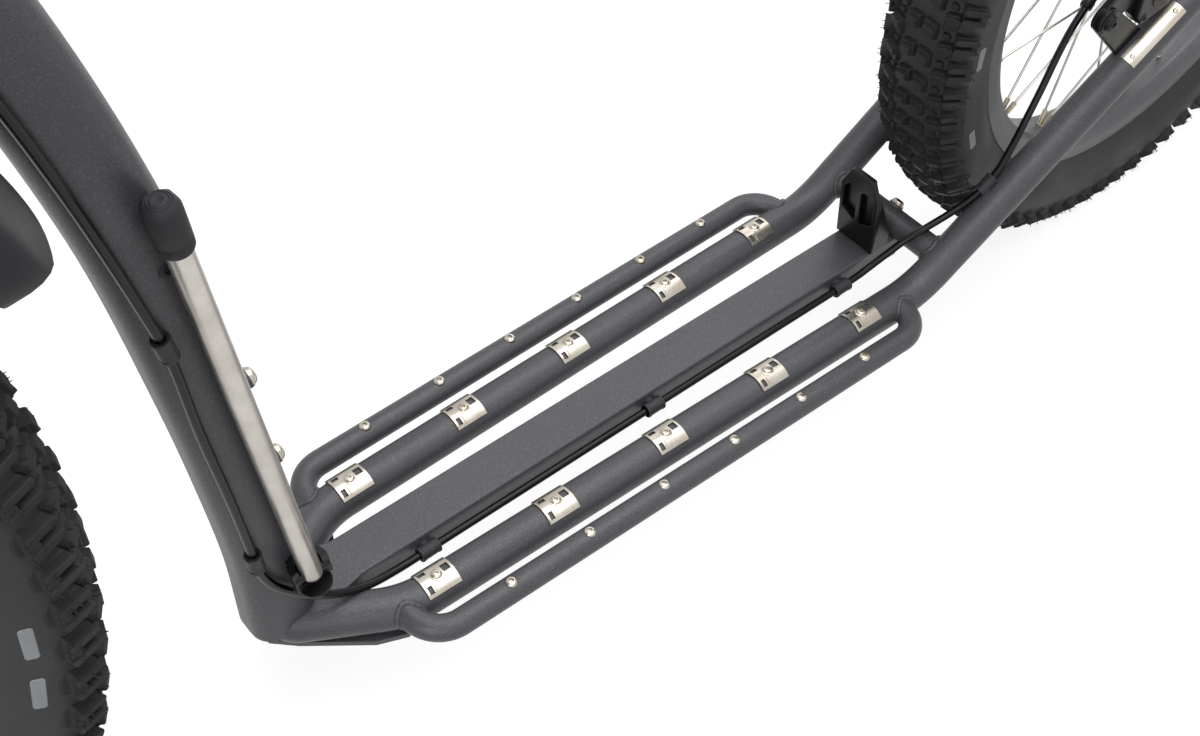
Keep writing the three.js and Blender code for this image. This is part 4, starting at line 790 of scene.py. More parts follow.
# %% Cleats
def sheet(us, vs, windows, low, high, radius):
    """A sheet with windows, rolled about the X axis. us run along it and vs across it."""
    columns, rows = len(us), len(vs)

    def kept(i, j):
        if not (0 <= i < columns - 1 and 0 <= j < rows - 1):
            return False
        u, v = (us[i] + us[i + 1]) / 2, (vs[j] + vs[j + 1]) / 2
        return not any(a < u < b and c < v < d for a, b, c, d in windows)

    verts = [(u, r * math.sin(v / radius), r * math.cos(v / radius))
             for r in (low, high) for u in us for v in vs]
    faces, count = [], columns * rows
    beside = ((0, -1), (1, 0), (0, 1), (-1, 0))
    for i in range(columns - 1):
        for j in range(rows - 1):
            if not kept(i, j):
                continue
            a, b, c, d = i * rows + j, (i + 1) * rows + j, (i + 1) * rows + j + 1, i * rows + j + 1
            faces += [(a, d, c, b), (a + count, b + count, c + count, d + count)]
            for p, q, (di, dj) in zip((a, b, c, d), (b, c, d, a), beside):
                if not kept(i + di, j + dj):
                    faces.append((p, q, q + count, p + count))
    used = sorted({k for face in faces for k in face})
    new = {k: n for n, k in enumerate(used)}
    return outwards(array(verts)[used], [tuple(new[k] for k in face) for face in faces])


CLEAT_FRONT, CLEAT_PITCH = 172, 86
CLEAT_LONG, CLEAT_WIDE, CLEAT_BEND = 22, 21.2, 13.3
windows = [(-9.4, -4.6, -4.2, 1.0), (4.6, 9.4, -6.9, -3.7), (6.4, 9.4, 3.8, 8.6)]
us = sorted({-CLEAT_LONG / 2, CLEAT_LONG / 2, *(e for w in windows for e in w[:2])})
even_vs = np.round(np.linspace(-CLEAT_WIDE / 2, CLEAT_WIDE / 2, 13), 2)
vs = sorted({*even_vs, *(e for w in windows for e in w[2:])})
cleat_sheet = sheet(us, vs, windows, 12.75, 13.9, CLEAT_BEND)
raised_strip = sheet([-9.8, 4.8], np.linspace(3.6, 9.2, 7), [], 13.5, 14.4, CLEAT_BEND)
cleat_screw = shifted(button_head(3.3, 1.7, 1.3), 0, 0, 13.8)
screw_collar = shifted(lathe([(0, 4.1), (0.35, 4.1), (0.5, 3.8)], 28), 0, 0, 13.6)
cleat = joined([cleat_sheet, raised_strip, screw_collar, cleat_screw])
for name, side in SIDES:
    rail_turn = math.atan2(side * (rail_y(1) - rail_y(0)), 1)
    for i in range(5):
        x = CLEAT_FRONT - CLEAT_PITCH * i
        place = Matrix.Translation((x, side * rail_y(x), RAIL_Z)) @ Matrix.Rotation(rail_turn, 4, "Z")
        piece(f"cleat_{name}_{i + 1}", cleat, STEEL, "frame", [f"{name}_cleat_{i + 1}"],
              matrix=place, edge=0.18, sharp=30)
print("cleat faces:", len(cleat_sheet[1]))

# %% [markdown]
# The stand is folded up along the down tube, so its rubber foot is on top. The foot and its heel are turned
# from a profile with ribs. The cup at the hinge is half a ring, open to the left, so that the leg can swing
# out of it.

# %% The stand
STAND_PIVOT = array([241, 28, 53])
STAND_LEAN = math.radians(8)
STAND_UP = array([math.sin(STAND_LEAN), 0, math.cos(STAND_LEAN)])
stand_place = along(STAND_PIVOT, STAND_PIVOT + STAND_UP)
leg_profile = [(-6, 2.0), (-5.2, 3.4), (-3.2, 5.1), (0, 6), (279, 6), (280.4, 4.8)]
piece("stand_leg", placed(lathe(leg_profile, 40), stand_place), STEEL_TUBE, "stand", ["stand_tube"])
foot_profile = [(263, 6.3), (263, 7.3), (264, 7.75), (268, 7.9), (268.4, 7.7), (269.2, 7.7), (269.6, 7.95),
                (282, 8.15), (285.2, 8.1), (287.6, 7.3), (289.2, 6.0), (289.5, 5.7), (289.2, 5.4),
                (289.9, 4.9), (290.2, 4.5), (289.9, 4.1), (290.5, 3.6), (290.8, 2.4), (290.3, 1.6),
                (290.3, 0.3)]
heel_profile = [(0, 7.0), (1.2, 7.4), (8, 7.5), (10.5, 6.6), (11.6, 4.6), (11.2, 3.9), (12.0, 3.0),
                (11.7, 2.2), (12.0, 0.4)]
heel = shifted(placed(lathe(heel_profile, 40), spin(-24, "Y")), -1.2, 0.8, 276.5)
rubber = placed(joined([lathe(foot_profile, 48), heel]), stand_place)
piece("stand_rubber", rubber, RUBBER, "stand", ["stand_foot"], sharp=50)
print("stand length:", 290.8 + 6, "mm")


# %% The stand's cup and pin
def arc(radius, start, end, count):
    """Points on part of a circle, between two angles in degrees."""
    return round_points(radius, np.radians(np.linspace(start, end, count)))


cup_wall = np.vstack([arc(11.2, 80, 280, 36), arc(7.0, 280, 80, 36)])
cup_web = rounded_box(5, 17, 1.5) + array([-9.0, 0])
cup = joined([slab(cup_wall, -9.5, 9.0), slab(arc(9.6, 90, 270, 30), -11.5, -8.0), slab(cup_web, -10.5, 7),
              slab(circle(9.4, 40), -12.4, -11.45)])
piece("stand_cup", placed(cup, stand_place), ALLOY, "frame", ["stand_bracket"],
      edge=0.9, sharp=40, segments=3)
pin_half = array([10.8, 0, 0])
pin = rod(STAND_PIVOT - pin_half, STAND_PIVOT + pin_half, 3, 24, 0.4)
piece("stand_hinge_pin", pin, ALLOY, "frame", ["stand_pin"])
print("stand leans", round(math.degrees(STAND_LEAN), 1), "degrees")

# %% [markdown]
# Behind the beam stands a black bracket, a casting with a leaning front face and two pockets. The face is
# drawn flat with its pockets as holes and then bent to the lean, and a row of outlines makes the back.

# %% The bracket behind the beam
def bracket_front(z):
    """How far forward the bracket's leaning front face is at a height."""
    return np.interp(z, [0, 29.7, 63.4, 66], [-219.5, -215, -210.5, -212.6])


FRONT_THICK = 4.4
BACK_ROWS = ((0.3, -235.6, 16.1), (13, -235.8, 16.1), (22, -231, 16.1), (36, -224.4, 16.1),
             (49.6, -218.4, 16.1), (57, -216, 12.9), (64.6, -214.9, 9.2))
face = array([(-16.5, 0.3), (16.5, 0.3), (16.5, 50), (10.2, 64), (9.0, 65.4),
              (-9.0, 65.4), (-10.2, 64), (-16.5, 50)])
pocket = array([(1.9, 21), (13.2, 27), (13.6, 47), (9.5, 53), (3.4, 52), (1.9, 49)])
flat_verts, flat_faces = pierced([face, pocket, pocket * (-1, 1)], -FRONT_THICK, 0, 0.5)
across_face, up_face, depth = flat_verts.T
front_plate = outwards(np.column_stack([bracket_front(up_face) + depth, across_face, up_face]), flat_faces)
back_rings = []
for z, back, half in BACK_ROWS:
    x = bracket_front(z) - 4.0
    back = min(back, x - 0.4)
    back_rings.append([(x, -half, z), (x, half, z), (back, half, z), (back, -half, z)])
ledge_back, ledge_front = bracket_front(24) - 4.2, bracket_front(24) - 1.6
ledges = []
for side in (1, -1):
    corners = [(ledge_back, side * 2.2), (ledge_back, side * 12.6), (ledge_front, side * 12.6)]
    ledges.append(slab(corners, 22.5, 24.5))
piece("rear_bracket_shell", joined([front_plate, skin(back_rings)] + ledges), ALLOY, "frame",
      ["rear_bracket"], edge=0.35, sharp=30)
print("bracket height:", face[:, 1].max(), "mm")

# %% [markdown]
# Both hoses run in short clips. The one to the rear brake starts at the right lever and crosses from the
# fork to the frame beside the head tube, in one piece. The points of its route were read off the frame
# one by one, and the bar's share is written in the fork's own directions.

# %% Hoses
HOSE_RADIUS = 2.5
rear_route = array([
    [506, 39, 709.3], [510, 38.8, 698], [508, 36, 681], [496, 31, 666], [478, 26.5, 652],
    [453, 23, 636], [427, 21.6, 610], [400, 21.4, 571], [374, 21.4, 521], [333.5, 21.4, 424],
    [313, 21.4, 357], [291, 21.4, 266], [287.4, 21.4, 246], [282, 21.4, 194], [273.5, 21.4, 130],
    [268.8, 21.4, 88], [267, 21.6, 70], [261, 22.5, 52], [250, 23.4, 36], [237, 23.6, 21],
    [221, 23, 7], [203, 22, -3], [183, 20.8, -7.6], [168, 20.4, -8.5], [154, 20.2, -8.5],
    [75, 20.2, -8.5], [-8, 20.2, -8.5], [-22, 20.2, -8.5], [-115, 20.2, -8.5], [-203, 20.2, -8.3],
    [-216, 21, -5], [-226, 24.5, 3.5], [-237, 29.5, 14.5], [-251, 34.5, 22.5], [-270, 38.6, 29],
    [-285, 43.2, 39.5], [-300, 45, 53.5], [-314, 42.4, 67], [-328, 38.8, 83], [-340, 36, 101],
    [-354, 32, 121], [-366, 29.2, 134.5], [-378, 27, 144]])
bar_route = array([
    [88.1, -125.8, 242.6], [90.7, -106, 242.2], [100, -80, 234], [112, -48, 206], [112, -18, 170],
    [100, 12, 140],
    [76, 36, 118], [48, 47, 107], [26, 51, 101], [13, 48.5, 94], [10.8, 43.7, 86], [10.8, 43.7, 77.8]])
front_route = array([
    [88.1, 125.8, 242.6], [90.7, 106, 242.2], [97, 84, 232], [103, 66, 202], [100, 52, 152], [84, 42, 100],
    [62, 42, 48], [42, 50, 8], [30, 64, -24], [24, 74, -56], [8, 76, -88], [-5, 70, -112], [-3, 60, -150],
    [3, 56, -196], [-6, 50, -232], [-21, 42, -260], [-31, 35, -281], [-28.3, 32, -300.3],
    [-17.7, 32, -317.3]])
bar_world, _ = placed((bar_route, []), STEER)
front_world, _ = placed((front_route, []), STEER)
rear_line = smooth(np.vstack([bar_world[:-1], rear_route]))
front_line = smooth(front_world)
rear_hose = piece("rear_brake_hose", tube(rear_line, HOSE_RADIUS, 20), HOSE, None, ["rear_hose", "bar_hose"])
crossing, half_blend = rear_route[0], 30 * STEER_UP
blend_start, blend_end = (tuple((crossing + move) / 1000) for move in (-half_blend, half_blend))
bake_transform(rear_hose)
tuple(blend_start)
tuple(blend_end)
piece("front_brake_hose", tube(front_line, HOSE_RADIUS, 20), HOSE, "fork", ["front_hose"])
for label, line in (("rear", rear_line), ("front", front_line)):
    print(label, "hose:", round(distances(line)[-1]), "mm")


# %% Hose clips and fittings
def route_at(key, value):
    """The place on the rear hose where one coordinate has the value, and the way it runs there."""
    fine = smooth(rear_route)
    index = int(np.argmax((fine[:-1, key] - value) * (fine[1:, key] - value) <= 0))
    low, high = fine[index], fine[index + 1]
    return low + (value - low[key]) / (high[key] - low[key]) * (high - low), unit(high - low)


def clip(place, run, foot_at, half=6.75, lip=2.2):
    """A snap-in hose clip: a sleeve with thick ends, on a foot."""
    bands = [ring_band(2.75, 4.5, -half, half, 0.5, 32)]
    bands += [ring_band(2.75, 4.8, low, low + lip, 0.4, 32) for low in (-half, half - lip)]
    foot = rod(place + 2.6 * unit(foot_at - place), foot_at, 4.0, 20, 0.3)
    return joined([placed(band, along(place, place + run)) for band in bands] + [foot])


clips = []
for key, value in ((0, 161), (0, -15), (0, -188), (2, 256), (2, 79), (0, -292.6)):
    place, run = route_at(key, value)
    if key == 2:
        foot_at = array([place[0] - 2.4, 15, value])
    elif value > DECK_REAR:
        foot_at = array([value, 12, place[2]])
    else:
        foot_at = stay_point(place[0] + 7)
    clips.append(clip(place, run, foot_at))
piece("hose_clips", joined(clips), CLIP, "frame", sharp=40)
sleeve_profile = [(7, 3.4), (7, 4.0), (14, 4.0), (15, 3.2), (20, 3.0)]
fitting = joined([hex_nut(4.6, 0.4, 7, 2.0), lathe(sleeve_profile, 32)])
for name, route, body in (("rear", rear_route, "frame"), ("front", front_world, "fork")):
    way = unit(route[-1] - route[-2])
    piece(f"{name}_hose_fitting", placed(fitting, along(route[-1], route[-1] + way)), ALLOY, body)
print("clips:", len(clips))

# %% [markdown]
# A small stainless plate is riveted to the left stay. It is rolled to the tube's radius, and its place is
# a set of three directions: along the stay, across it, and out from it.

# %% The plate on the stay
PLATE_LONG, PLATE_HALF = 52, 6
stay_way = unit([-math.cos(STAY_ANGLE), 0.0148, math.sin(STAY_ANGLE)])
plate_faces_to = array([0.503, 0.367, 0.779])
plate_out = unit(plate_faces_to - stay_way * (stay_way @ plate_faces_to))
plate_place = Matrix((stay_way, np.cross(plate_out, stay_way), plate_out)).transposed().to_4x4()
plate_place.translation = stay_point(-404)
plate = sheet(np.linspace(0, PLATE_LONG, 5), np.linspace(-PLATE_HALF, PLATE_HALF, 9), [], 12.45, 13.15, 12.8)
rivets = [shifted(button_head(1.7, 0.8, 0.7), u, 0, 13.1) for u in (5, PLATE_LONG - 5)]
piece("bare_stay_plate", joined([plate] + rivets), STEEL, "frame", matrix=plate_place, edge=0.2, sharp=30)
print("plate foot at", np.round(stay_point(-404), 1))

# %% [markdown]
# A tyre is a carcass with rubber blocks on it. One pitch of the tread is drawn on flat paper, as distance
# along the tyre, distance across it and height above it, then repeated and wrapped round the carcass. The
# fine hairs are the vents of the mould, which every new tyre has.

# %% From a flat drawing to the tyre
TYRE_DEPTH = 58


def tyre_profile(radius):
    """Half of the carcass from the crown to the bead, as (sideways, radius)."""
    crown = [(0, 6.4), (10, 6.9), (18, 8.6), (23.4, 11), (27.4, 14.6), (29.8, 19.6), (30.9, 26)]
    wall = [(30.6, 24), (29.0, 15), (25.6, 7.5), (22.2, 2.6), (20.2, 0.6), (18.4, -1), (18.4, -6.4)]
    points = [(a, radius - drop, 0) for a, drop in crown]
    points += [(a, radius - TYRE_DEPTH + rise, 0) for a, rise in wall]
    return smooth(points, 5)[:, :2]


def wrap(points, radius, count):
    """From (along, across, height) on the flat drawing to the tyre, turned about Z."""
    half = tyre_profile(radius)
    travel = distances(half)
    slope = np.gradient(half, travel, axis=0)
    across, height = np.abs(points[:, 1]), points[:, 2]
    a = np.interp(across, travel, half[:, 0]) + np.interp(across, travel, -slope[:, 1]) * height
    r = np.interp(across, travel, half[:, 1]) + np.interp(across, travel, slope[:, 0]) * height
    angle = points[:, 0] * 2 * math.pi / count
    return np.column_stack([r * np.cos(angle), r * np.sin(angle), np.sign(points[:, 1] + 1e-9) * a])


print("points on half a tyre:", len(tyre_profile(343)))


# %% Tread blocks and mould hairs
def block(s, t, long, wide, low, high, skew=0.0, taper=0.8, ramp=0.0):
    """A tread block with sloped sides, a broken top edge and a top that falls towards one end."""
    base = rounded_box(long + 2 * taper, wide + 2 * taper, 1.4, 1)
    top = rounded_box(long, wide, 1.1, 1)
    rim = rounded_box(long - 0.8, wide - 0.8, 0.8, 1)
    rings = []
    for outline, height in ((base, low), (top, high - 0.4), (rim, high)):
        fall = 0 if outline is base else ramp * (0.5 + outline[:, 0] / long)
        rings.append(np.column_stack([outline[:, 0] + skew * outline[:, 1] + s, outline[:, 1] + t,
                                      np.full(len(outline), height) - fall]))
    return skin(rings)


def hair(s, t, height, lean):
    """A thin leaning spike with three sides."""
    root, tip = circle(0.42, 3) + array([s, t]), circle(0.2, 3) + array([s + lean, t + lean * 0.4])
    return skin([level(root, 0.0), level(tip, height)])


TREAD_PITCH, HAIRS_PER_SIDE, HAIRS_BESIDE = 22, 8, 3


def tread_pitch(pitch, hairs):
    """One pitch: a pair of blocks in the middle, one beside each, one with ribs on each shoulder."""
    parts = []
    for side in (1, -1):
        beside, shoulder = 0.5 * pitch, 0.12 * pitch
        parts += [block(0, side * 6.2, 11.4, 9.4, -0.8, 3.6, side * 0.16, 1.0, 0.8),
                  block(0.8, side * 6.4, 7.2, 7.6, 2.8, 5.9, side * 0.16, 0.5, 0.9),
                  block(beside, side * 18.4, 12.2, 8.6, -0.8, 3.8, side * -0.2, 1.0, 1.0),
                  block(beside - 2.0, side * 18.4, 6.2, 7.4, 2.6, 6.0, side * -0.2, 0.5, 1.0),
                  block(0.3, side * 17.6, 4.6, 4.2, -0.8, 2.6, side * 0.2, 0.8, 0.6),
                  block(shoulder, side * 29.6, 12.4, 12.6, -0.8, 4.4, side * 0.1, 1.2, 1.6),
                  block(shoulder - 3.7, side * 29.6, 4.0, 11.6, 2.2, 7.2, side * 0.1, 0.5),
                  block(shoulder + 3.7, side * 29.6, 4.0, 11.6, 2.0, 6.4, side * 0.1, 0.5),
                  block(shoulder, side * 33.4, 5.0, 3.6, 2.0, 6.0, side * 0.1, 0.4),
                  block(shoulder, side * 37.0, 9.6, 4.0, -0.8, 1.8, side * 0.1, 1.4, 1.4)]
        for k in range(HAIRS_PER_SIDE):
            on_shoulder = k >= HAIRS_BESIDE
            s = (shoulder if on_shoulder else beside) + hairs.uniform(-5.5, 5.5)
            t = side * (hairs.uniform(29.5, 36) if on_shoulder else hairs.uniform(15, 22))
            height = hairs.uniform(7.8, 9.0) if on_shoulder else 6.4
            parts.append(hair(s, t, height, hairs.uniform(-1.6, 1.6)))
    return joined(parts)


print("faces in one pitch:", len(tread_pitch(TREAD_PITCH, np.random.default_rng(7))[1]))


# %% Carcass, tread and dashes
def carcass(radius):
    """The smooth tyre, hollow inside, with fine ribs low on its walls."""
    ribbed = tyre_profile(radius)
    for k, (_, r) in enumerate(ribbed):
        if radius - 52 < r < radius - 40 and k % 2:
            ribbed[k, 0] += 0.28
    inner = [(14.4, 64.4), (23, 46), (27, 24), (18, 12), (0, 9)]
    half = [(a, r) for a, r in ribbed] + [(a, radius - drop) for a, drop in inner]
    return lathe(half + [(-a, r) for a, r in reversed(half[1:-1])], 160, loop=True)


def on_tyre(part, radius, first, share, count):
    """A flat part moved on by so many pitches and wrapped round the tyre."""
    verts, faces = part
    return wrap(verts * (share, 1, 1) + (first, 0, 0), radius, count), faces


def tread(radius):
    """Every pitch of the tread, each with hairs of its own."""
    count = round(2 * math.pi * (radius - 3) / TREAD_PITCH)
    hairs = np.random.default_rng(7)
    pitch = 2 * math.pi * radius / count
    return joined([on_tyre(tread_pitch(pitch, hairs), radius, k, 1 / pitch, count) for k in range(count)])


def dashes(radius, angles):
    """Plain pale dashes on the left sidewall."""
    dash = block(0, 47, 18, 6, -0.3, 0.25, taper=0.1)
    share = 1 / (2 * math.pi * (radius - 38))
    return joined([on_tyre(dash, radius, angle / 360, share, 1) for angle in angles])


print("carcass points:", len(carcass(343)[0]))

# %% Both tyres
AXLE_ACROSS = spin(-90, "X")
REAR_AXLE = Matrix.Translation((-501, 0, 178))
FORK_AXLE = STEER @ Matrix.Translation((FORK_RAKE, 0, -FORK_DROP))
HAIR_ROOM = 0.6
WHEELS = (("rear", 272, REAR_AXLE @ AXLE_ACROSS, "frame"), ("front", 343, FORK_AXLE @ AXLE_ACROSS, "fork"))
DASH_ANGLES = {"rear": (23.5, 5.0, 203.5, 185.0), "front": (-164.8, -170.4, 15.2, 9.6)}
for end, radius, place, _ in WHEELS:
    body, radius = f"{end}_wheel", radius - HAIR_ROOM
    blocks = tread(radius)
    piece(f"{end}_tyre_carcass", carcass(radius), WALL, body, [f"{end}_tyre"], matrix=place, sharp=60)
    piece(f"{end}_tyre_tread", blocks, TREAD, body, matrix=place, sharp=25)
    piece(f"{end}_tyre_dashes", dashes(radius, DASH_ANGLES[end]), MARK, body, matrix=place)
    print(end, "tread faces:", len(blocks[1]))

# %% [markdown]
# The wheel inside the tyre is a hollow rim, a hub, and two rows of crossed spokes with brass nipples. The
# brake rotor is a thin plate cut by a laser, so it is drawn flat with its windows and given a thickness.

# %% Rims and spokes
def polar(angle, r, across):
    return array([r * math.cos(angle), -r * math.sin(angle), across])


RIM_DEPTH, SPOKES_PER_SIDE = 21, 16


def mirrored(profile):
    """The same outline on the other side, in the reverse order."""
    return [(-a, r) for a, r in reversed(profile)]


def rim(radius):
    flange = radius - TYRE_DEPTH
    edge = [(21, 0.6), (20.4, 0), (19.2, 0), (18.6, 0.6), (18.6, 7)]
    inner = [(21, 8.5), (20.4, 11.5), (17.2, 16.5), (13.5, 20), (11, RIM_DEPTH)]
    half = [(a, flange - drop) for a, drop in inner[::-1] + edge]
    return lathe(half + mirrored(half), 144, loop=True)


def spokes(radius, side):
    """Crossed spokes from the holes in a hub flange, each through one side of it, with nipples at the rim."""
    flange = side * (25.5 if side > 0 else 30.5)
    nipple = lathe([(0, 1.3), (0.6, 1.9), (11, 1.9), (11.6, 2.6), (14, 2.6)], 12)
    wires, nipples = [], []
    for i in range(SPOKES_PER_SIDE):
        heading = 1 if i % 2 == 0 else -1
        outer = side * heading
        angle = i * 2 * math.pi / SPOKES_PER_SIDE
        seat = polar(angle + heading * 3 * math.pi / 8, radius - TYRE_DEPTH - RIM_DEPTH, side * 1.6)
        start, elbow = polar(angle, 21, flange - outer * 3.2), polar(angle, 21, flange + outer * 2.7)
        run = unit(seat - elbow)
        wires.append(tube(bent([start, elbow, seat - run * 4], [1.6], 30), 1.0, 8, side=(1, 0.2, 0.1)))
        wires.append(rod(start - array([0, 0, outer * 0.9]), start, 2.1, 12, 0.3))
        nipples.append(placed(nipple, along(seat - run * 12.5, seat)))
    return joined(wires), joined(nipples)


print("spokes in a wheel:", 2 * SPOKES_PER_SIDE)


# %% Hub and rotor
BOLT_RADIUS, ROTOR_FACE = 22.5, 40.4
BOLT_ANGLES = [(k + 0.5) * math.pi / 3 for k in range(6)]


def hub():
    profile = [(-41.5, 5.6), (-41.5, 11.4), (-40.8, 12), (-34, 12), (-32.4, 14), (-32, 23.2), (-31.4, 24),
               (-29.6, 24), (-29, 23.2), (-28.6, 16), (-24, 13), (-16, 12.2), (12, 12.2), (19, 13),
               (23.6, 16), (24, 23.2), (24.6, 24), (26.4, 24), (27, 23.2), (30, 20), (37.6, 18.6),
               (38.3, 18), (38.3, 16), (40.4, 16), (41.5, 11), (41.5, 5.6)]
    return lathe(profile, 64, loop=True)


def rotor():
    """The disc's outline, six arms, the bolt holes, and small holes in three rows."""
    angles = np.linspace(0, 2 * math.pi, 240, endpoint=False)
    outlines = [round_points(79.4 + 0.5 * np.cos(24 * angles), angles), circle(16.5, 48)]
    for k in range(6):
        low, high = (k + 0.16) * math.pi / 3, (k + 0.9) * math.pi / 3
        inner, outer = np.linspace(low, high, 5), np.linspace(high + 0.22, low + 0.4, 12)
        outlines.append(np.vstack([round_points(31, inner), round_points(61, outer)]))
        outlines.append(circle(2.6, 16) + round_points(BOLT_RADIUS, [BOLT_ANGLES[k]]))
    for k in range(48):
        outlines.append(circle(1.9, 12) + round_points((67, 71, 75)[k % 3], [(k + 0.5) * math.pi / 24]))
    return pierced(outlines, ROTOR_FACE - 1.8, ROTOR_FACE, 0.15)


rotor_plate = rotor()
rotor_bolt = button_head(4.2, 2.0, 1.8)
rotor_bolts = [shifted(rotor_bolt, *polar(angle, BOLT_RADIUS, ROTOR_FACE)) for angle in BOLT_ANGLES]
print("rotor faces:", len(rotor_plate[1]))

# %% Valve, axle and both wheels
valve_profile = [(0, 3.2), (6, 3.2), (6.4, 2.9), (30, 2.9), (30.6, 2.4), (38, 2.4), (39, 1.6)]
valve = joined([lathe(valve_profile, 20), ring_band(2.9, 5.0, 1.0, 4.5, 0.4, 24)])
axle_rod = lathe([(-66.8, 4.2), (-66.2, 5), (66.2, 5), (66.8, 4.2)], 32)
nut_set = joined([hex_nut(9.6, 57.6, 64.3, 5), ring_band(5, 9.6, 56.3, 57.6, 0.3, 40),
                  ring_band(5, 8.5, 41.8, 49.7, 0.6, 32)])
axle = joined([axle_rod, nut_set, placed(nut_set, spin(180, "X"))])
for end, radius, place, axle_body in WHEELS:
    body = f"{end}_wheel"
    piece(f"{end}_rim_hoop", rim(radius), RIM, body, [f"{end}_rim"], matrix=place, sharp=30)
    for name, side in SIDES:
        wires, nipples = spokes(radius, side)
        piece(f"{end}_wires_{name}", wires, SPOKE, body, [f"{end}_spokes_{name}"], matrix=place)
        piece(f"{end}_nipples_{name}", nipples, BRASS, body, matrix=place)
    piece(f"{end}_hub_shell", hub(), ALLOY, body, [f"{end}_hub"], matrix=place, sharp=30)
    piece(f"{end}_brake_disc", rotor_plate, ROTOR, body, [f"{end}_rotor"], matrix=place, sharp=30)
    piece(f"{end}_rotor_bolts", joined(rotor_bolts), ALLOY, body, matrix=place)
    seat = polar(math.radians(-101), radius - TYRE_DEPTH - RIM_DEPTH, 0)
    piece(f"{end}_valve", placed(valve, along(seat, seat * 0.9)), ALLOY, body, matrix=place)
    piece(f"{end}_axle_set", axle, STEEL, axle_body, [f"{end}_axle"], matrix=place)
print("wheels:", [end for end, *_ in WHEELS])

# %% [markdown]
# A disc brake is a pair of black alloy halves bolted together over the rotor, with a round cap over each
# piston. It is drawn once about an axle at the origin and turned to its place. The rear one hangs on a
# two-armed mount, and the front one on two feet against the left fork leg.

# %% One calliper
piston_cap = lathe([(54.0, 11.2), (55.0, 11.2), (55.4, 10.6), (55.4, 5.4), (54.8, 5.0), (54.8, 0.3)], 40)
body_screw = shifted(button_head(4.0, 1.4, 1.7), 0, 0, 54.0)


def across_at(part, x, z):
    """A part made about Z, laid across the bike at a place."""
    return placed(part, Matrix.Translation((x, 0, z)) @ AXLE_ACROSS)


def calliper(degrees):
    """Two halves, a bridge, caps and screws about an axle at the origin, turned about Y."""
    low_edge = array([(62, -21), (68, -31), (98, -31), (104, -22)])
    shape = np.vstack([low_edge, low_edge[::-1] * (1, -1)])
    parts = [side_on([shape], 41.6, 54.6, 1.6), side_on([shape * (1, 0.94)], 25.4, 37.4, 1.6),
             side_on([array([(82.5, -25), (103, -21), (103, 21), (82.5, 25)])], 36, 43, 0.4)]
    parts += [across_at(piston_cap, 80, z) for z in (-13.5, 13.5)]
    parts += [across_at(body_screw, 97, z) for z in (-25.5, 25.5)]
    return placed(joined(parts), spin(-degrees, "Y"))


print("faces in a calliper:", len(calliper(0)[1]))

# %% Both callipers on their mounts
MOUNT_BOLT, MOUNT_FOOT = (131.6, -27), (84, -68)
mount = [side_on([link_outline(MOUNT_FOOT, 12, MOUNT_BOLT, 9.5)], 45, 51, 0.8),
         side_on([link_outline((96, -8), 15, MOUNT_BOLT, 9.0)], 43, 49, 0.8),
         across_at(lathe([(50, 8.2), (51.6, 8.2), (52.2, 7.6), (52.2, 6.4), (53.0, 6.2)], 40), *MOUNT_BOLT),
         across_at(shifted(button_head(5.4, 3.2, 2.2), 0, 0, 52.4), *MOUNT_BOLT)]
piece("rear_calliper_shell", joined([calliper(-8)] + mount), ALLOY, "frame", ["rear_calliper"],
      matrix=REAR_AXLE, sharp=30)

LEG_OUT, LEG_RADIUS, LEG_FOOT = 57, 12.5, 22
FRONT_CALLIPER = 122
leg_top, leg_end = array([8 - FORK_RAKE, LEG_OUT, FORK_DROP - 40.3]), array([0, LEG_OUT, LEG_FOOT])
leg_way = unit(leg_top - leg_end)
calliper_angle = math.radians(FRONT_CALLIPER)
calliper_middle = 83 * array([math.cos(calliper_angle), 0, math.sin(calliper_angle)])
front_feet = []
for shift in (-22, 22):
    on_leg = leg_end + leg_way * ((calliper_middle - leg_end) @ leg_way + shift) - array([0, 8, 0])
    front_feet.append(rod(on_leg, on_leg + array([-0.98, 0, -0.2]) * 26, 7.0, 28, 0.6))
piece("front_calliper_shell", joined([calliper(FRONT_CALLIPER)] + front_feet), ALLOY, "fork",
      ["front_calliper"], matrix=FORK_AXLE, sharp=30)
print("front calliper feet:", len(front_feet))

# %% [markdown]
# The fork, the mudguard and the handlebar lie outside the photograph, so they are made plainly, as such a
# bike has them. All of them are written in the fork's own directions, with the crown at the origin and Z up
# the steerer, and STEER turns them into place.

# %% Fork and headset
crown_half = array([(0, 0, -11.4), (0, 14, -11.6), (3, 34, -14.5), (6.5, 49, -24),
                    (8, LEG_OUT, -41), (8, LEG_OUT, -58)])
crown_line = smooth(np.vstack([crown_half[:0:-1] * array([1, -1, 1]), crown_half]), 8)
crown_scale = np.interp(np.abs(crown_line[:, 1]), [0, 20, 50, 57], [0.76, 0.78, 0.96, 1.0])
crown_arms = sweep(crown_line, rounded_box(29, 29, 11, 6), side=(1, 0, 0), scale=crown_scale)
race_profile = [(-27, 0.3), (-27, 15), (-23.5, 21), (-19, 24.2), (-7, 24.2), (-0.5, 23), (-0.3, 22.4),
                (-0.3, 15.5)]
crown = joined([crown_arms, lathe(race_profile, 64)])
piece("fork_crown_cast", crown, PAINT, "fork", ["fork_crown"], matrix=STEER, sharp=40)
leg_line = array([(8, LEG_OUT, -38), (FORK_RAKE, LEG_OUT, LEG_FOOT - FORK_DROP)])
leg_line = array([leg_line[0], leg_line.mean(axis=0), leg_line[1]])
axle_eye = array([FORK_RAKE, -FORK_DROP])
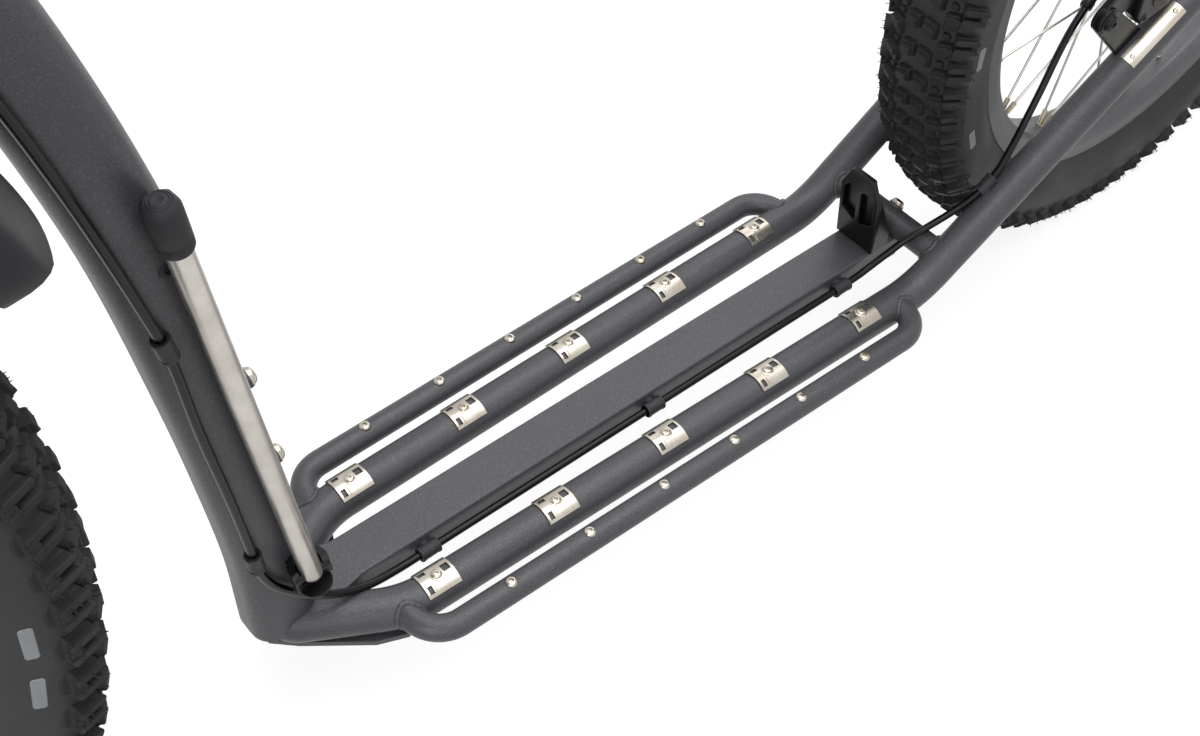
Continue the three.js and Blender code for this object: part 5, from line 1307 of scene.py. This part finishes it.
for name, side in SIDES:
    leg = tube(leg_line * (1, side, 1), LEG_RADIUS, 40)
    eye_outlines = [link_outline(axle_eye, 17, (FORK_RAKE, -383.1), 9), circle(5.6, 32) + axle_eye]
    eye = side_on(eye_outlines, *sorted((side * 50, side * 56)), 0.5)
    piece(f"fork_tube_{name}", joined([leg, eye]), PAINT, "fork", [f"fork_leg_{name}"],
          matrix=STEER, sharp=30)
lower_cup = [(0.3, 15), (0.3, 22.6), (1.4, 24), (7, 24), (7.3, 23.4), (7.9, 23.4), (8.2, 24), (10.8, 24),
             (11.7, 23), (11.7, 15)]
upper_cup = [(152.3, 15), (152.3, 23), (153.2, 24), (158.4, 24), (158.7, 23.4), (159.4, 23.4), (166.6, 17),
             (166.6, 15)]
for name, profile in (("lower", lower_cup), ("upper", upper_cup)):
    piece(f"headset_{name}_cup", lathe(profile, 64, loop=True), ALLOY, "frame", [f"headset_{name}"],
          matrix=HEAD, sharp=30)
print("fork length:", FORK_LENGTH, "mm")

# %% Mudguard
GUARD_RADIUS, GUARD_ROUNDED = 382.5, 20
guard_start, guard_end = math.radians(62), math.radians(140.9)
guard_half = [(28, -18), (28.2, -17), (28, -9), (26.6, -4.6), (23.4, -1.4), (19, 0.3), (10, 0.7), (0, 0.8)]
guard_inner = [(0, -1.7), (10, -1.8), (18.6, -2.2), (22, -3.6), (24.4, -6.2), (25.5, -9.6), (25.6, -17),
               (26.2, -18.1)]
guard_section = array(guard_half + mirrored(guard_half[:-1]) + mirrored(guard_inner) + guard_inner[1:])
guard_across, guard_out = guard_section.T
eased = 0.5 - 0.5 * np.cos(np.linspace(0, math.pi, 70))
guard_rings = []
for angle in guard_start + (guard_end - guard_start) * eased:
    to_end = GUARD_RADIUS * max(0.0, min(angle - guard_start, guard_end - angle))
    narrow = 0.5 + 0.5 * math.sqrt(1 - max(0.0, 1 - to_end / GUARD_ROUNDED) ** 2)
    reach = guard_out + GUARD_RADIUS
    guard_rings.append(np.column_stack([FORK_RAKE + reach * math.cos(angle), guard_across * narrow,
                                        reach * math.sin(angle) - FORK_DROP]))
guard_top = math.sqrt(GUARD_RADIUS**2 - FORK_RAKE**2) - FORK_DROP
guard = joined([skin(guard_rings), rod((0, 0, guard_top), (0, 0, -27.3), 8, 28, 0.6)])
piece("mudguard_shell", guard, PLASTIC, "fork", ["mudguard"], matrix=STEER, sharp=30)
print("mudguard rings:", len(guard_rings))

# %% Handlebar and stem
REACH, BAR_Z = 72, 221
BAR_HALF, BAR_RISE, BAR_BACK = 320, 42, 28
bar_half = array([(REACH - BAR_BACK, BAR_HALF, BAR_Z + BAR_RISE), (REACH, 112, BAR_Z + BAR_RISE),
                  (REACH, 48, BAR_Z)])
bar_line = bent(np.vstack([bar_half, bar_half[::-1] * (1, -1, 1)]), [45] * 4, 4)
clamp_place = along((REACH, 0, BAR_Z), (REACH, 1, BAR_Z))
bar_sleeve = placed(lathe([(-46, 11.3), (-42, 15.9), (42, 15.9), (46, 11.3)], 48), clamp_place)
piece("handlebar_tube", joined([tube(bar_line, 11.1, 40), bar_sleeve]), ALLOY, "fork", ["handlebar"],
      matrix=STEER, sharp=40)
collar_profile = [(167.3, 15), (167.3, 17), (173.4, 17), (173.8, 16.6), (174.2, 17), (180.4, 17),
                  (180.8, 16.6), (181.2, 17), (187, 17), (187.4, 18.2), (188.2, 19), (225.8, 19),
                  (227, 18), (227, 15)]
clamp_profile = [(-23, 17), (-23, 20), (-21.8, 21), (-0.6, 21), (0, 20.4), (0.6, 21), (21.8, 21),
                 (23, 20), (23, 17)]
stem_parts = [lathe(collar_profile, 56, loop=True),
              tube([(0, 0, 207), (REACH / 2, 0, 214), (REACH, 0, BAR_Z)], 14, 36),
              placed(lathe(clamp_profile, 56), clamp_place)]
for y in (-16, 16):
    for z in (-9, 9):
        screw_place = along((REACH + 20, y, BAR_Z + z), (REACH + 30, y, BAR_Z + z * 1.5))
        stem_parts.append(placed(button_head(3.2, 2.0, 1.5), screw_place))
piece("stem_body", joined(stem_parts), ALLOY, "fork", ["stem"], matrix=STEER, sharp=30)
cap_profile = [(227.3, 0.3), (227.3, 16.4), (228, 17), (229.6, 17), (231.6, 14), (232.2, 12.6), (232.2, 6),
               (231.4, 5.4), (231.4, 0.3)]
cap = joined([lathe(cap_profile, 48), shifted(button_head(4.2, 0.9, 1.9), 0, 0, 231.3)])
piece("stem_cap_round", cap, ALLOY, "fork", ["stem_cap"], matrix=STEER, sharp=30)
print("bar width:", 2 * BAR_HALF, "mm")

# %% Grips and brake levers
grip_profile = [(0, 11.4), (0, 17.8), (0.8, 18.4), (4.2, 18.4), (5, 17.6), (5.4, 14.9)]
for low in 7 + 4.3 * np.arange(27):
    grip_profile += [(low, 14.9), (low + 0.5, 15.5), (low + 2.6, 15.5), (low + 3.1, 14.9)]
grip_profile += [(125.5, 15.3), (130, 15.5), (132.4, 14.4), (133, 12.8), (133, 0.3)]
for name, side in SIDES:
    end, knee = bar_half[:2] * (1, side, 1)
    grip = placed(lathe(grip_profile, 40), along(end - unit(end - knee) * 128.8, end))
    piece(f"{name}_grip_ribbed", grip, RUBBER, "fork", [f"{name}_grip"], matrix=STEER, sharp=30)
    dress(f"{name}_brake_body", ALLOY, 0.4)
    dress(f"{name}_lever", ALLOY, 0.8)
print("grip length:", grip_profile[-1][0], "mm")

# %% [markdown]
# The picture has a plain white ground with hardly any shadow, so the light is a large soft box overhead with
# weaker ones around. Rays from the camera, off metal and through glass see a white floor and a white world,
# while the light that falls on the object comes from the lamps and from a much darker floor.

# %% The floor
def seen_rays(tree):
    """1 for rays from the camera, off metal and through glass, and 0 for the rest."""
    path = node(tree, "ShaderNodeLightPath").outputs
    either = calculate(tree, "MAXIMUM", path["Is Camera Ray"], path["Is Glossy Ray"])
    return calculate(tree, "MAXIMUM", either, path["Is Transmission Ray"])


def floor_material():
    """White where it is seen, but darker for the light that it throws back, so that undersides stay dark."""
    made = bpy.data.materials.new("floor_white")
    made.use_nodes = True
    tree = made.node_tree
    shader = tree.nodes["Principled BSDF"]
    shader.inputs["Roughness"].default_value = 0.9
    seen = seen_rays(tree)
    tint(tree, shader, seen, (60, 60, 60), (150, 150, 150))
    shader.inputs["Emission Color"].default_value = (1, 1, 1, 1)
    tree.links.new(fit_range(tree, seen, 0, 1, 0, 0.85), shader.inputs["Emission Strength"])
    return made


FLOOR_HALF, FLOOR_Z = 60, -0.0945
corners = [(x * FLOOR_HALF, y * FLOOR_HALF, FLOOR_Z) for x, y in ((-1, -1), (1, -1), (1, 1), (-1, 1))]
floor_mesh = bpy.data.meshes.new("floor")
floor_mesh.from_pydata(corners, [], [(0, 1, 2, 3)])
floor_mesh.materials.append(floor_material())
floor = bpy.data.objects.new("floor", floor_mesh)
bpy.context.scene.collection.objects.link(floor)
print("floor at", FLOOR_Z, "m")


# %% Lamps
def lamp(name, place, target, size, power):
    data = bpy.data.lights.new(name, "AREA")
    data.shape, data.size, data.size_y, data.energy = "RECTANGLE", size[0], size[1], power
    made = bpy.data.objects.new(name, data)
    facing = (Vector(target) - Vector(place)).to_track_quat("-Z", "Y")
    made.matrix_world = Matrix.Translation(place) @ facing.to_matrix().to_4x4()
    bpy.context.scene.collection.objects.link(made)


lamp("overhead", (-0.4, 0.2, 2.6), (0, 0, 0), (3.0, 2.2), 62)
lamp("left_side", (0.6, 2.2, 1.1), (0, 0, 0.1), (2.6, 1.8), 6)
lamp("front", (2.2, 1.2, 1.2), (0, 0, 0.2), (1.8, 1.6), 27)
lamp("rear", (-2.2, -1.6, 1.6), (0, 0, 0.1), (1.8, 1.4), 10)

# %% The white world
world = bpy.data.worlds.new("studio")
world.use_nodes = True
bpy.context.scene.world = world
tree = world.node_tree
tree.nodes.clear()
seen = node(tree, "ShaderNodeBackground", {"Color": (1, 1, 1, 1), "Strength": 1.0})
lit = node(tree, "ShaderNodeBackground", {"Color": (1, 1, 1, 1), "Strength": 0.06})
mixed = node(tree, "ShaderNodeMixShader", {0: seen_rays(tree)})
tree.links.new(lit.outputs[0], mixed.inputs[1])
tree.links.new(seen.outputs[0], mixed.inputs[2])
node(tree, "ShaderNodeOutputWorld", {"Surface": mixed.outputs[0]})
bpy.context.scene.view_settings.view_transform = "Standard"
print("view transform:", bpy.context.scene.view_settings.view_transform)
